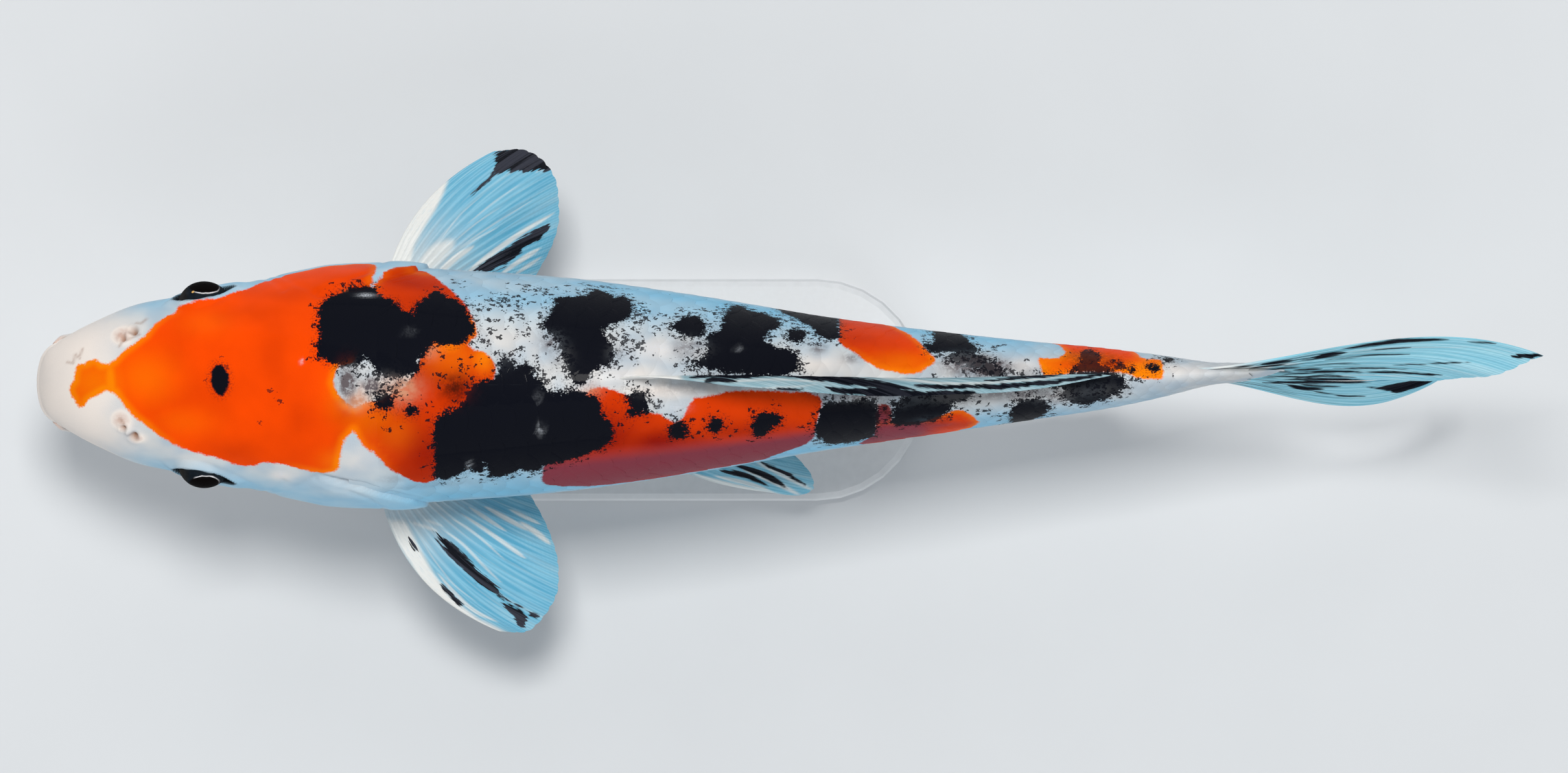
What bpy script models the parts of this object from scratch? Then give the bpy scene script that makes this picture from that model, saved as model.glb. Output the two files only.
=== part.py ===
"""Koi carp, life size, swimming level and held by a plain display stand.

Metres, +Z up. The head points to -X and the fish's right side to +Y. The origin is on the floor,
under the middle of the whole model. Shapes are worked out in body millimetres: along from the
snout, across from the midline (right side positive) and up from the body's axis.
"""

import math

import bmesh
import bpy
import numpy as np
from mathutils import Vector

MM = 0.001

# Driving sizes, in millimetres.
TOTAL_LENGTH = 300.0
BODY_LENGTH = 236.0  # snout to the root of the tail fin
MIDLINE_Y = 1.5  # the pectoral fins don't spread equally, so the midline is off the middle
AXIS_HEIGHT = 66.0  # body axis above the floor
GAP = 0.3  # clearance between neighbours
SIDES = 30  # facets round the body
FIN_THICKNESS = 0.9

# Body outline: along, half width, back above the axis, belly below the axis, widest level.
SNOUT_LEVEL = -7.5
BODY_STATIONS = (
    (0.0, 0.0, SNOUT_LEVEL, SNOUT_LEVEL, SNOUT_LEVEL),
    (1.0, 5.3, -4.4, -10.6, -7.5),
    (4.0, 8.3, 0.1, -13.4, -7.4),
    (8.0, 10.8, 4.0, -15.8, -7.2),
    (12.0, 12.8, 6.8, -17.6, -7.0),
    (20.0, 16.1, 11.0, -20.3, -6.5),
    (28.0, 17.7, 14.4, -22.5, -6.2),
    (36.0, 19.3, 17.2, -24.3, -6.0),
    (44.0, 21.2, 19.8, -25.8, -5.8),
    (52.0, 23.1, 22.3, -27.2, -5.5),
    (60.0, 24.5, 24.7, -28.4, -5.0),
    (70.0, 24.8, 27.4, -29.6, -4.2),
    (80.0, 23.6, 29.7, -30.5, -3.4),
    (95.0, 22.6, 32.2, -31.2, -2.4),
    (110.0, 21.2, 33.3, -31.2, -1.6),
    (125.0, 19.1, 32.8, -30.4, -1.0),
    (140.0, 16.7, 30.8, -28.6, -0.5),
    (155.0, 14.1, 27.6, -25.8, 0.0),
    (170.0, 11.9, 23.6, -22.2, 0.2),
    (185.0, 9.9, 19.4, -18.4, 0.3),
    (200.0, 8.0, 15.6, -14.8, 0.3),
    (212.0, 6.6, 13.2, -12.9, 0.2),
    (224.0, 4.7, 12.0, -12.2, 0.1),
    (232.0, 3.1, 12.2, -12.4, 0.0),
    (BODY_LENGTH, 2.4, 12.6, -12.8, 0.0),
)
# How square the section is above and below its widest level: 2 is an ellipse.
SQUARENESS = ((0.0, 2.1, 2.1), (30.0, 2.35, 2.2), (70.0, 2.15, 2.3), (120.0, 2.0, 2.3), (236.0, 2.0, 2.0))
# The body swims with a slight bend, and the tail swings to the fish's right.
BEND = ((0.0, 0.0), (60.0, -0.6), (120.0, -0.3), (180.0, 0.0), (200.0, 0.4), (220.0, 1.0), (236.0, 1.8))

# Where the body is divided.
HEAD_END, TRUNK_MIDDLE, TRUNK_END = 66.0, 112.0, 176.0

EYE_CENTRE = (34.2, 14.7, 4.0)
EYE_RADIUS = 6.0
ORBIT_SWELL, ORBIT_RING, ORBIT_REACH = 0.9, 6.4, 2.4  # height, radius and width of the rim

# Side view of the slit of the mouth and of the lower jaw's hinge end.
MOUTH_FRONT, MOUTH_CORNER, JAW_HEEL = (-3.0, -8.6), (9.0, -12.2), (15.0, -23.0)

# Side view of the gill cover, from its top corner round the rear edge and up the cheek groove.
GILL_COVER = (
    (57.5, 15.3), (66.5, 14.8), (72.3, 12.0), (76.4, 7.8), (78.6, 2.0), (78.9, -4.5), (76.8, -10.8),
    (72.0, -16.0),
    (65.5, -20.3), (57.0, -23.4), (50.0, -22.8), (46.3, -17.5), (46.6, -9.0), (49.0, 1.5), (52.8, 10.0),
)
GILL_COVER_DEPTH = 2.0

# Stand.
BASE_SIZE, BASE_CORNER, BASE_EDGE = (122.0, 46.0, 8.0), 22.0, 1.5
BASE_ALONG = 118.0
ROD_RADIUS, PAD_RADIUS, PAD_HEIGHT = 2.5, 6.5, 4.0
ROD_PLACES = {"front": 88.0, "rear": 162.0}

COLOURS = {
    # name: (colour, roughness, metallic)
    "scarlet": ((0.80, 0.12, 0.01), 0.3, 0.0),
    "white": ((0.80, 0.79, 0.76), 0.3, 0.0),
    "ink": ((0.02, 0.02, 0.03), 0.3, 0.0),
    "fin": ((0.72, 0.78, 0.80), 0.35, 0.0),
    "eye": ((0.015, 0.013, 0.012), 0.08, 0.0),
    "plate": ((0.74, 0.74, 0.72), 0.5, 0.0),
    "steel": ((0.55, 0.56, 0.57), 0.3, 1.0),
    "pad": ((0.35, 0.35, 0.35), 0.8, 0.0),
}


def monotone(places, values, squares_from=None):
    """A smooth curve through the values that doesn't overshoot them, as a function of place.

    With squares_from, the square of the distance from that value is interpolated instead, so
    that the outline closes in a round end.
    """
    x = np.asarray(places, float)
    y = np.asarray(values, float)
    sign = 1.0
    if squares_from is not None:
        sign = 1.0 if y[-1] >= squares_from else -1.0
        y = (y - squares_from) ** 2
    steps = np.diff(x)
    slopes = np.diff(y) / steps
    tangents = np.concatenate([slopes[:1], (slopes[1:] + slopes[:-1]) / 2, slopes[-1:]])
    turning = np.concatenate([[False], slopes[1:] * slopes[:-1] <= 0, [False]])
    tangents[turning] = 0.0
    limits = 3 * np.minimum(
        np.concatenate([np.abs(slopes[:1]), np.abs(slopes)]),
        np.concatenate([np.abs(slopes), np.abs(slopes[-1:])]),
    )
    tangents = np.clip(tangents, -limits, limits)

    def curve(at):
        at = min(max(at, x[0]), x[-1])
        i = min(int(np.searchsorted(x, at, side="right")) - 1, len(steps) - 1)
        t = (at - x[i]) / steps[i]
        found = (
            (1 + 2 * t) * (1 - t) ** 2 * y[i]
            + t * (1 - t) ** 2 * steps[i] * tangents[i]
            + t * t * (3 - 2 * t) * y[i + 1]
            - t * t * (1 - t) * steps[i] * tangents[i + 1]
        )
        if squares_from is None:
            return float(found)
        return squares_from + sign * math.sqrt(max(found, 0.0))

    return curve


def columns(table):
    """The table's columns."""
    return list(zip(*table, strict=True))


ALONG, WIDTHS, BACKS, BELLIES, LEVELS = columns(BODY_STATIONS)
half_width = monotone(ALONG, WIDTHS, squares_from=0.0)
back = monotone(ALONG, BACKS, squares_from=SNOUT_LEVEL)
belly = monotone(ALONG, BELLIES, squares_from=SNOUT_LEVEL)
widest_level = monotone(ALONG, LEVELS)
square_above = monotone(*[columns(SQUARENESS)[k] for k in (0, 1)])
square_below = monotone(*[columns(SQUARENESS)[k] for k in (0, 2)])
bend = monotone(*columns(BEND))


def orbit_swell(along, across, up):
    """How far the rim of the orbit stands out of the head, in millimetres."""
    if abs(across) < EYE_CENTRE[1] / 2:
        return 0.0
    ring = math.hypot(along - EYE_CENTRE[0], up - EYE_CENTRE[2])
    return ORBIT_SWELL * math.exp(-(((ring - ORBIT_RING) / ORBIT_REACH) ** 2))


def body_point(along, turn, outward=0.0):
    """A point of the body's surface in body millimetres.

    turn is 0 at the back, a quarter on the right side and a half at the belly.
    """
    angle = 2 * math.pi * turn
    side, rise = math.sin(angle), math.cos(angle)
    level = widest_level(along)
    square = square_above(along) if rise > 0 else square_below(along)
    reach = (back(along) if rise > 0 else belly(along)) - level
    across = math.copysign(abs(side) ** (2 / square), side) * (half_width(along) + outward)
    up = level + abs(rise) ** (2 / square) * (reach + math.copysign(outward, rise))
    across += math.copysign(orbit_swell(along, across, up), across)
    return (along, across + bend(along), up)


def world(point):
    """Body millimetres to the model's metres."""
    along, across, up = point
    return Vector(
        (
            (along - TOTAL_LENGTH / 2) * MM,
            (across + MIDLINE_Y) * MM,
            (up + AXIS_HEIGHT) * MM,
        )
    )


def collection_named(name):
    made = bpy.data.collections.new(name)
    bpy.context.scene.collection.children.link(made)
    return made


def material_named(name):
    """The Principled material of this name, made when it is first asked for."""
    found = bpy.data.materials.get(name)
    if found:
        return found
    colour, roughness, metallic = COLOURS[name]
    made = bpy.data.materials.new(name)
    made.use_nodes = True
    made.diffuse_color = (*colour, 1.0)
    shader = made.node_tree.nodes["Principled BSDF"]
    shader.inputs["Base Color"].default_value = (*colour, 1.0)
    shader.inputs["Roughness"].default_value = roughness
    shader.inputs["Metallic"].default_value = metallic
    return made


def add_object(name, data, material, collection):
    made = bpy.data.objects.new(name, data)
    collection.objects.link(made)
    if material:
        data.materials.append(material_named(material))
    return made


def mesh_object(name, build, material, collection):
    """An object whose mesh is filled by build(bm)."""
    bm = bmesh.new()
    build(bm)
    bmesh.ops.recalc_face_normals(bm, faces=bm.faces)
    mesh = bpy.data.meshes.new(name)
    bm.to_mesh(mesh)
    bm.free()
    mesh.shade_smooth()
    mesh.set_sharp_from_angle(angle=math.radians(40))
    return add_object(name, mesh, material, collection)


def helper(obj):
    """Marks a cutter: the model leaves it out."""
    obj.hide_render = True
    obj.display_type = "WIRE"
    return obj


def carve(target, other, operation="DIFFERENCE"):
    cut = target.modifiers.new(operation.title(), "BOOLEAN")
    cut.operation = operation
    cut.object = other


def loft(name, rings, material, collection):
    """A closed solid through rings of points, each flat at its end, or closed on a single point."""

    def build(bm):
        made = [[bm.verts.new(world(p)) for p in ring] for ring in rings]
        for before, after in zip(made[:-1], made[1:], strict=True):
            count = max(len(before), len(after))
            for i in range(count):
                j = (i + 1) % count
                corners = [before[i % len(before)], before[j % len(before)]]
                corners += [after[j % len(after)], after[i % len(after)]]
                bm.faces.new(list(dict.fromkeys(corners)))
        for ring in (made[0], made[-1]):
            if len(ring) > 2:
                bm.faces.new(ring)

    return mesh_object(name, build, material, collection)


def body_rings(first, last, outward=0.0):
    """Section rings of the body between two places; they crowd together at the snout."""
    rings = []
    if first <= 0.0:
        rings.append([(-outward, 0.0, SNOUT_LEVEL)])
        places = [0.25, 1.0, 2.4, 4.2, 6.4, 9.0, 12.0]
        places += list(np.linspace(15.5, last, round((last - 12.0) / 3.9)))
    else:
        places = list(np.linspace(first, last, round((last - first) / 6.0) + 1))
    for along in places:
        rings.append([body_point(along, i / SIDES, outward) for i in range(SIDES)])
    return rings


def prism(name, outline, across, collection):
    """A cutter: a side-view outline in millimetres, extruded between two places across."""

    def build(bm):
        near, far = across
        face = bm.faces.new([bm.verts.new(world((x, near, z))) for x, z in outline])
        raised = bmesh.ops.extrude_face_region(bm, geom=[face])["geom"]
        verts = [v for v in raised if isinstance(v, bmesh.types.BMVert)]
        bmesh.ops.translate(bm, verts=verts, vec=world((0, far, 0)) - world((0, near, 0)))

    return helper(mesh_object(name, build, None, collection))


def grown(outline, by):
    """A convex outline moved outwards by a distance."""
    points = [Vector(p) for p in outline]
    middle = sum(points, Vector((0.0, 0.0))) / len(points)
    made = []
    for i, point in enumerate(points):
        along = points[(i + 1) % len(points)] - points[i - 1]
        normal = Vector((along.y, -along.x)).normalized()
        if normal.dot(point - middle) < 0:
            normal = -normal
        made.append(tuple(point + normal * by))
    return made


def make_eye(side, sign, parts, cutters):
    """One eyeball and the cutter for its socket."""
    along, across, up = EYE_CENTRE
    place = world((along, sign * across + bend(along), up))
    socket = None
    for name, radius, material, collection in (
        (f"eye_{side}", EYE_RADIUS, "eye", parts),
        (f"socket_{side}", EYE_RADIUS + GAP, None, cutters),
    ):

        def build(bm, radius=radius):
            bmesh.ops.create_uvsphere(bm, u_segments=18, v_segments=10, radius=radius * MM)

        made = mesh_object(name, build, material, collection)
        made.location = place
        made.rotation_euler = (math.radians(-sign * 75), 0, 0)
        socket = made
    return helper(socket)


def make_gill_cover(side, sign, parts, cutters):
    """One gill cover, a curved plate on the cheek, and the cutter for its recess."""
    reach = (sign * 4.0, sign * 40.0)
    outer = helper(loft(f"outer_{side}", body_rings(30.0, 96.0), None, cutters))
    inner = helper(loft(f"inner_{side}", body_rings(28.0, 98.0, -GILL_COVER_DEPTH), None, cutters))
    deeper = helper(loft(f"deeper_{side}", body_rings(28.0, 98.0, -GILL_COVER_DEPTH - GAP), None, cutters))

    def build(bm):
        near, far = reach
        face = bm.faces.new([bm.verts.new(world((x, near, z))) for x, z in GILL_COVER])
        raised = bmesh.ops.extrude_face_region(bm, geom=[face])["geom"]
        verts = [v for v in raised if isinstance(v, bmesh.types.BMVert)]
        bmesh.ops.translate(bm, verts=verts, vec=world((0, far, 0)) - world((0, near, 0)))

    plate = mesh_object(f"gill_cover_{side}", build, "scarlet", parts)
    carve(plate, outer, "INTERSECT")
    carve(plate, inner)
    recess = prism(f"recess_{side}", grown(GILL_COVER, GAP), reach, cutters)
    carve(recess, deeper)
    return recess


def make_body(parts, cutters):
    """Head, lower jaw, gill covers, eyes and the lengths of the body, with gaps between them."""
    half = GAP / 2
    head = loft("head", body_rings(0.0, HEAD_END - half), "scarlet", parts)
    front = loft("trunk_front", body_rings(HEAD_END + half, TRUNK_MIDDLE - half), "white", parts)
    loft("trunk_rear", body_rings(TRUNK_MIDDLE + half, TRUNK_END - half), "ink", parts)
    loft("tail_stalk", body_rings(TRUNK_END + half, BODY_LENGTH), "white", parts)

    jaw_outline = (MOUTH_FRONT, MOUTH_CORNER, JAW_HEEL, (MOUTH_FRONT[0], JAW_HEEL[1]))
    jaw = loft("lower_jaw", body_rings(0.0, HEAD_END - half), "white", parts)
    carve(jaw, prism("jaw_space", jaw_outline, (-30.0, 30.0), cutters), "INTERSECT")
    carve(head, prism("jaw_clearance", grown(jaw_outline, GAP), (-31.0, 31.0), cutters))

    for side, sign in (("right", 1), ("left", -1)):
        recess = make_gill_cover(side, sign, parts, cutters)
        carve(head, recess)
        carve(front, recess)
        carve(head, make_eye(side, sign, parts, cutters))
    return helper(loft("flesh", body_rings(0.0, BODY_LENGTH + GAP, GAP), None, cutters))


def smooth_line(points, share):
    """The point at a share of the way along a smooth line through these points."""
    place = np.linspace(0.0, 1.0, len(points))
    return Vector(monotone(place, values)(share) for values in columns(points))


def fin_surface(roots, tips, bows, across, along, late=1.0):
    """A fin whose rays run from the roots to the tips and bow, nearer the tips if late is over 1."""

    def point(ray, share):
        root, tip, bow = (smooth_line(line, ray) for line in (roots, tips, bows))
        return root.lerp(tip, share) + bow * (4 * share**late * (1 - share**late))

    return [
        [point(i / across, j / along) for j in range(along + 1)] for i in range(across + 1)
    ]


def make_fin(name, roots, tips, bows, flesh, parts, across=12, along=6, late=1.0):
    """A fin: an open surface given its thickness by Solidify, cut clear of the body."""

    def build(bm):
        surface = fin_surface(roots, tips, bows, across, along, late)
        grid = [[bm.verts.new(world(p)) for p in ray] for ray in surface]
        for near, far in zip(grid[:-1], grid[1:], strict=True):
            for j in range(along):
                bm.faces.new((near[j], near[j + 1], far[j + 1], far[j]))

    fin = mesh_object(name, build, "fin", parts)
    skin = fin.modifiers.new("Thickness", "SOLIDIFY")
    skin.thickness = FIN_THICKNESS * MM
    skin.offset = 0.0
    skin.use_even_offset = True
    carve(fin, flesh)
    return fin


def make_paired_fins(flesh, parts):
    """Pectoral and pelvic fins. Each side is spread a little differently, as in swimming."""
    make_fin(
        "pectoral_fin_right",
        roots=((68.8, 17.0, -18.0), (72.2, 15.5, -20.5), (76.0, 14.0, -23.0)),
        tips=(
            (91.0, 46.9, -25.5), (95.7, 47.7, -25.0), (100.8, 45.4, -24.5), (104.0, 40.2, -24.5),
            (104.4, 34.6, -25.0), (102.9, 28.4, -26.0), (99.6, 21.6, -27.5),
        ),
        bows=((-4.2, 2.6, 1.5), (-1.4, 1.2, 2.2), (0.0, 0.0, 1.5)),
        flesh=flesh,
        parts=parts,
    )
    make_fin(
        "pectoral_fin_left",
        roots=((67.4, -18.0, -18.0), (71.2, -16.5, -20.5), (75.5, -15.0, -23.0)),
        tips=(
            (92.0, -50.7, -26.5), (97.2, -50.6, -26.0), (101.8, -47.0, -25.0), (104.2, -41.2, -24.5),
            (103.8, -35.0, -25.0), (101.8, -28.8, -26.0), (98.0, -22.6, -27.5),
        ),
        bows=((-4.6, -3.6, 2.0), (-1.6, -1.8, 2.6), (0.0, 0.0, 1.5)),
        flesh=flesh,
        parts=parts,
    )
    make_fin(
        "pelvic_fin_left",
        roots=((116.0, -9.5, -25.0), (119.0, -7.0, -26.5), (122.0, -4.5, -27.5)),
        tips=(
            (149.0, -22.5, -37.0), (153.5, -22.8, -37.0), (156.3, -21.6, -36.5),
            (155.4, -18.5, -36.0), (151.5, -14.0, -35.0), (145.0, -9.0, -33.5),
        ),
        bows=((-0.8, -3.0, 0.6), (0.0, -1.4, 1.0), (0.0, 0.0, 0.4)),
        flesh=flesh,
        parts=parts,
        across=10,
        along=5,
    )
    make_fin(
        "pelvic_fin_right",
        roots=((116.0, 9.0, -25.0), (119.0, 6.5, -26.5), (122.0, 4.0, -27.5)),
        tips=(
            (147.0, 13.3, -39.5), (151.0, 13.2, -40.0), (153.8, 12.0, -40.0),
            (153.6, 10.0, -39.5), (150.5, 7.4, -38.0), (144.5, 4.6, -35.5),
        ),
        bows=((-0.8, 1.6, 0.6), (0.0, 0.8, 1.0), (0.0, 0.0, 0.4)),
        flesh=flesh,
        parts=parts,
        across=10,
        along=5,
    )


def make_middle_fins(flesh, parts):
    """Dorsal, anal and tail fins. The dorsal is half lowered and leans to the fish's left."""
    make_fin(
        "dorsal_fin",
        roots=(
            (116.0, 0.4, 30.0), (136.0, 0.8, 29.0), (156.0, 0.7, 25.0), (176.0, 0.5, 19.5),
            (196.0, 0.6, 14.5),
        ),
        tips=(
            (141.0, -0.6, 43.5), (150.0, -1.6, 43.6), (163.0, -2.2, 38.6), (177.0, -2.6, 32.2),
            (189.0, -2.2, 26.4), (202.0, -0.8, 21.2), (215.0, 1.2, 16.6),
        ),
        bows=((-3.0, 1.2, 3.0), (-1.0, 1.6, 1.6), (0.0, 1.2, 0.8), (0.0, 0.6, 0.6)),
        flesh=flesh,
        parts=parts,
        across=18,
        along=5,
    )
    make_fin(
        "anal_fin",
        roots=((182.0, 0.1, -15.5), (192.0, 0.2, -13.0), (202.0, 0.4, -11.2)),
        tips=(
            (206.0, 0.6, -38.5), (211.5, 1.0, -38.5), (216.5, 1.4, -33.5), (219.0, 1.5, -27.0),
            (219.0, 1.4, -20.5),
        ),
        bows=((-2.4, 0.4, -2.2), (0.0, 0.4, 0.0), (0.0, 0.2, 0.6)),
        flesh=flesh,
        parts=parts,
        across=10,
        along=5,
    )
    stem = BODY_LENGTH + GAP
    make_fin(
        "tail_fin_upper",
        roots=((stem, 2.8, 11.2), (stem, 2.2, 6.0), (stem, 1.5, GAP / 2)),
        tips=(
            (299.7, 5.4, 27.6), (294.5, 2.8, 21.5), (288.0, 1.0, 14.5), (280.5, 0.6, 7.0),
            (272.0, 0.7, GAP / 2),
        ),
        bows=((0.0, 4.6, 2.4), (0.0, 2.6, 1.2), (0.0, -0.6, 0.0)),
        flesh=flesh,
        parts=parts,
        along=7,
        late=1.6,
    )
    make_fin(
        "tail_fin_lower",
        roots=((stem, 1.5, -GAP / 2), (stem, 1.1, -6.0), (stem, 0.7, -11.4)),
        tips=(
            (272.0, 0.7, -GAP / 2), (276.0, 0.9, -8.0), (280.0, 1.0, -17.5), (283.5, 0.9, -26.0),
            (283.5, 0.9, -33.0),
        ),
        bows=((0.0, -0.6, 0.0), (0.0, -3.0, -1.2), (0.0, -5.6, -2.6)),
        flesh=flesh,
        parts=parts,
        along=7,
        late=1.6,
    )


def make_barbel(name, points, parts):
    """A feeler: a tapered tube on a smooth line."""
    data = bpy.data.curves.new(name, "CURVE")
    data.dimensions = "3D"
    data.bevel_depth = 0.55 * MM
    data.bevel_resolution = 1
    data.use_fill_caps = True
    line = data.splines.new("POLY")
    steps = 8
    line.points.add(steps)
    for i in range(steps + 1):
        line.points[i].co = (*world(smooth_line(points, i / steps)), 1.0)
        line.points[i].radius = 1.0 - 0.45 * i / steps
    return add_object(name, data, "white", parts)


def make_barbels(parts):
    """The long pair at the corners of the mouth and the short pair over the upper lip."""
    for side, sign in (("right", 1), ("left", -1)):
        long_line = ((7.6, 9.6, -13.1), (8.5, 10.6, -14.6), (9.9, 11.4, -16.6), (11.8, 12.0, -18.8))
        short_line = ((3.6, 8.5, -9.4), (4.3, 9.0, -10.6), (5.6, 9.5, -12.0), (7.2, 10.0, -13.4))
        for kind, points in (("long", long_line), ("short", short_line)):
            line = [(x, sign * y + bend(x), z) for x, y, z in points]
            make_barbel(f"barbel_{kind}_{side}", line, parts)


def make_base(parts):
    """The flat base, a plate with round ends and eased edges."""
    length, width, height = (size * MM for size in BASE_SIZE)
    corner, edge = BASE_CORNER * MM, BASE_EDGE * MM
    steps = 7

    def build(bm):
        outline = []
        for k in range(4):
            sx, sy = ((1, 1), (-1, 1), (-1, -1), (1, -1))[k]
            for i in range(steps + 1):
                turn = math.pi / 2 * (k + i / steps)
                x = sx * (length / 2 - corner) + corner * math.cos(turn)
                y = sy * (width / 2 - corner) + corner * math.sin(turn)
                outline.append(bm.verts.new((x, y, 0.0)))
        face = bm.faces.new(outline)
        raised = bmesh.ops.extrude_face_region(bm, geom=[face])["geom"]
        verts = [v for v in raised if isinstance(v, bmesh.types.BMVert)]
        bmesh.ops.translate(bm, verts=verts, vec=(0, 0, height))
        rim = [e for e in bm.edges if all(v in verts for v in e.verts)]
        bmesh.ops.bevel(bm, geom=rim, offset=edge, segments=2, affect="EDGES", profile=0.5)

    base = mesh_object("stand_base", build, "plate", parts)
    base.location = ((BASE_ALONG - TOTAL_LENGTH / 2) * MM, 0.0, 0.0)


def make_rod(place, along, flesh, parts):
    """One rod and the soft saddle on it that the belly rests in."""
    middle = world((along, bend(along), 0.0))
    saddle_top = AXIS_HEIGHT + belly(along) + 1.5
    saddle_foot = AXIS_HEIGHT + belly(along) - PAD_HEIGHT
    foot = BASE_SIZE[2] + GAP
    for name, radius, low, high, sides, material in (
        (f"stand_rod_{place}", ROD_RADIUS, foot, saddle_foot - GAP, 20, "steel"),
        (f"stand_saddle_{place}", PAD_RADIUS, saddle_foot, saddle_top, 28, "pad"),
    ):

        def build(bm, radius=radius, low=low, high=high, sides=sides):
            bmesh.ops.create_cone(
                bm,
                cap_ends=True,
                segments=sides,
                radius1=radius * MM,
                radius2=radius * MM,
                depth=(high - low) * MM,
            )

        made = mesh_object(name, build, material, parts)
        made.location = (middle.x, middle.y, (low + high) / 2 * MM)
        if material == "pad":
            carve(made, flesh)


def main():
    for obj in list(bpy.data.objects):
        bpy.data.objects.remove(obj, do_unlink=True)
    parts = collection_named("koi_carp")
    cutters = collection_named("cutters")
    flesh = make_body(parts, cutters)
    make_paired_fins(flesh, parts)
    make_middle_fins(flesh, parts)
    make_barbels(parts)
    make_base(parts)
    for place, along in ROD_PLACES.items():
        make_rod(place, along, flesh, parts)


main()
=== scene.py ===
"""A koi carp swimming level on a plain display stand: skin, scales, fins, feelers, eyes and stand.

Shapes are worked out in body millimetres: along from the snout, across from the midline (the
fish's right side positive) and up from the body's axis. Marks lie on the skin by their distance
along the body and their distance round it from the ridge of the back.
"""

from __future__ import annotations

import logging
import math
from dataclasses import dataclass, field
from enum import Enum
from functools import partialmethod

import bpy
import numpy as np
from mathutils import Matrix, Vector

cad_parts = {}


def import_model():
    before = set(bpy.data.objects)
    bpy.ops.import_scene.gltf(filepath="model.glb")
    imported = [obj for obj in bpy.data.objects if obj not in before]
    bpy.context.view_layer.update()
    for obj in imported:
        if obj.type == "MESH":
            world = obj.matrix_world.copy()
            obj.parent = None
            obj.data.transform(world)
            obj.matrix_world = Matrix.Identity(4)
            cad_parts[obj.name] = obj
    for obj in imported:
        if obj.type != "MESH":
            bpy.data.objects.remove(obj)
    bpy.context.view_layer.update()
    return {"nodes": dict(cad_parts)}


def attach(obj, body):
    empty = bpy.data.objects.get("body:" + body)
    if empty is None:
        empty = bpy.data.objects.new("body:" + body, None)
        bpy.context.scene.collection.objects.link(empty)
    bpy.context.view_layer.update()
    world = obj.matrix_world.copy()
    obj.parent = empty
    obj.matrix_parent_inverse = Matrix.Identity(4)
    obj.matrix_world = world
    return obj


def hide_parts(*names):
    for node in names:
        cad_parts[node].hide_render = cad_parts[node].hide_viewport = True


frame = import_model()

LOG = logging.getLogger("koi")
Array = np.ndarray
Line = tuple[tuple[float, ...], ...]
Colour = tuple[float, float, float]
Socket = bpy.types.NodeSocket

MM = 0.001
TOTAL_LENGTH = 300.0
BODY_LENGTH = 236.0
MIDLINE_Y = 1.5
AXIS_HEIGHT = 66.0
SNOUT_LEVEL = -7.5
HEAD_END = 84.0  # the skin has no relief behind it
VIEW_HEIGHT = 1600.0  # height over the body's axis from which the marks' plans are drawn
# The unwrap: length of body that it covers, its margin, and the shares of it used along and round.
UNWRAP_BODY = 252.0
UNWRAP_MARGIN = 0.02
UNWRAP_LENGTH = 0.94
UNWRAP_GIRTH = 0.96
WATER_IOR = 1.33
FINE_RELIEF = 0.00008  # metres that the finest bumps stand out
FAR_OUT = -9.0  # a depth that is well outside any outline


class Side(Enum):
    """A side of the fish, with the sign of its across direction."""

    RIGHT = 1
    LEFT = -1

    @property
    def word(self) -> str:
        """The side's name as it stands in node names."""
        return self.name.lower()


def world(points: Array) -> Array:
    """Body millimetres to the frame's metres."""
    return (points + np.array([-TOTAL_LENGTH / 2, MIDLINE_Y, AXIS_HEIGHT])) * MM


def plan_from_above(points: Array) -> Array:
    """The plan, along and across, of points as they look from high over the middle of the fish."""
    middle = np.array([TOTAL_LENGTH / 2, 0.0])
    return middle + (points[..., :2] - middle) * VIEW_HEIGHT / (VIEW_HEIGHT - points[..., 2:3])


def smooth(value: Array | float, low: float, high: float) -> Array:
    """A soft step that rises from 0 at low to 1 at high."""
    t = np.clip((np.asarray(value, float) - low) / (high - low), 0.0, 1.0)
    return t * t * (3 - 2 * t)


def hump(value: Array, middle: float, width: Array | float) -> Array:
    """A bell of height 1 about the middle."""
    return np.exp(-(((value - middle) / width) ** 2))


def unit(vectors: Array) -> Array:
    """Vectors brought to length 1, in a last axis."""
    return vectors / np.maximum(np.linalg.norm(vectors, axis=-1, keepdims=True), 1e-12)


def unwrap_along(along: Array) -> Array:
    """Place on the unwrap of a distance from the snout."""
    return UNWRAP_MARGIN + UNWRAP_LENGTH * along / UNWRAP_BODY


def between(table: Array, i: Array, j: Array) -> Array:
    """Reads a table between its points.

    Args:
        table: Values over a lattice.
        i: Places in the lattice's first direction, in its steps.
        j: Places in the second direction.

    Returns:
        The value at each place, as at the edge for those past it.
    """
    i = np.clip(i, 0, table.shape[0] - 1.001)
    j = np.clip(j, 0, table.shape[1] - 1.001)
    i0, j0 = i.astype(int), j.astype(int)
    fi, fj = i - i0, j - j0
    near = table[i0, j0] * (1 - fj) + table[i0, j0 + 1] * fj
    far = table[i0 + 1, j0] * (1 - fj) + table[i0 + 1, j0 + 1] * fj
    return near * (1 - fi) + far * fi


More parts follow.
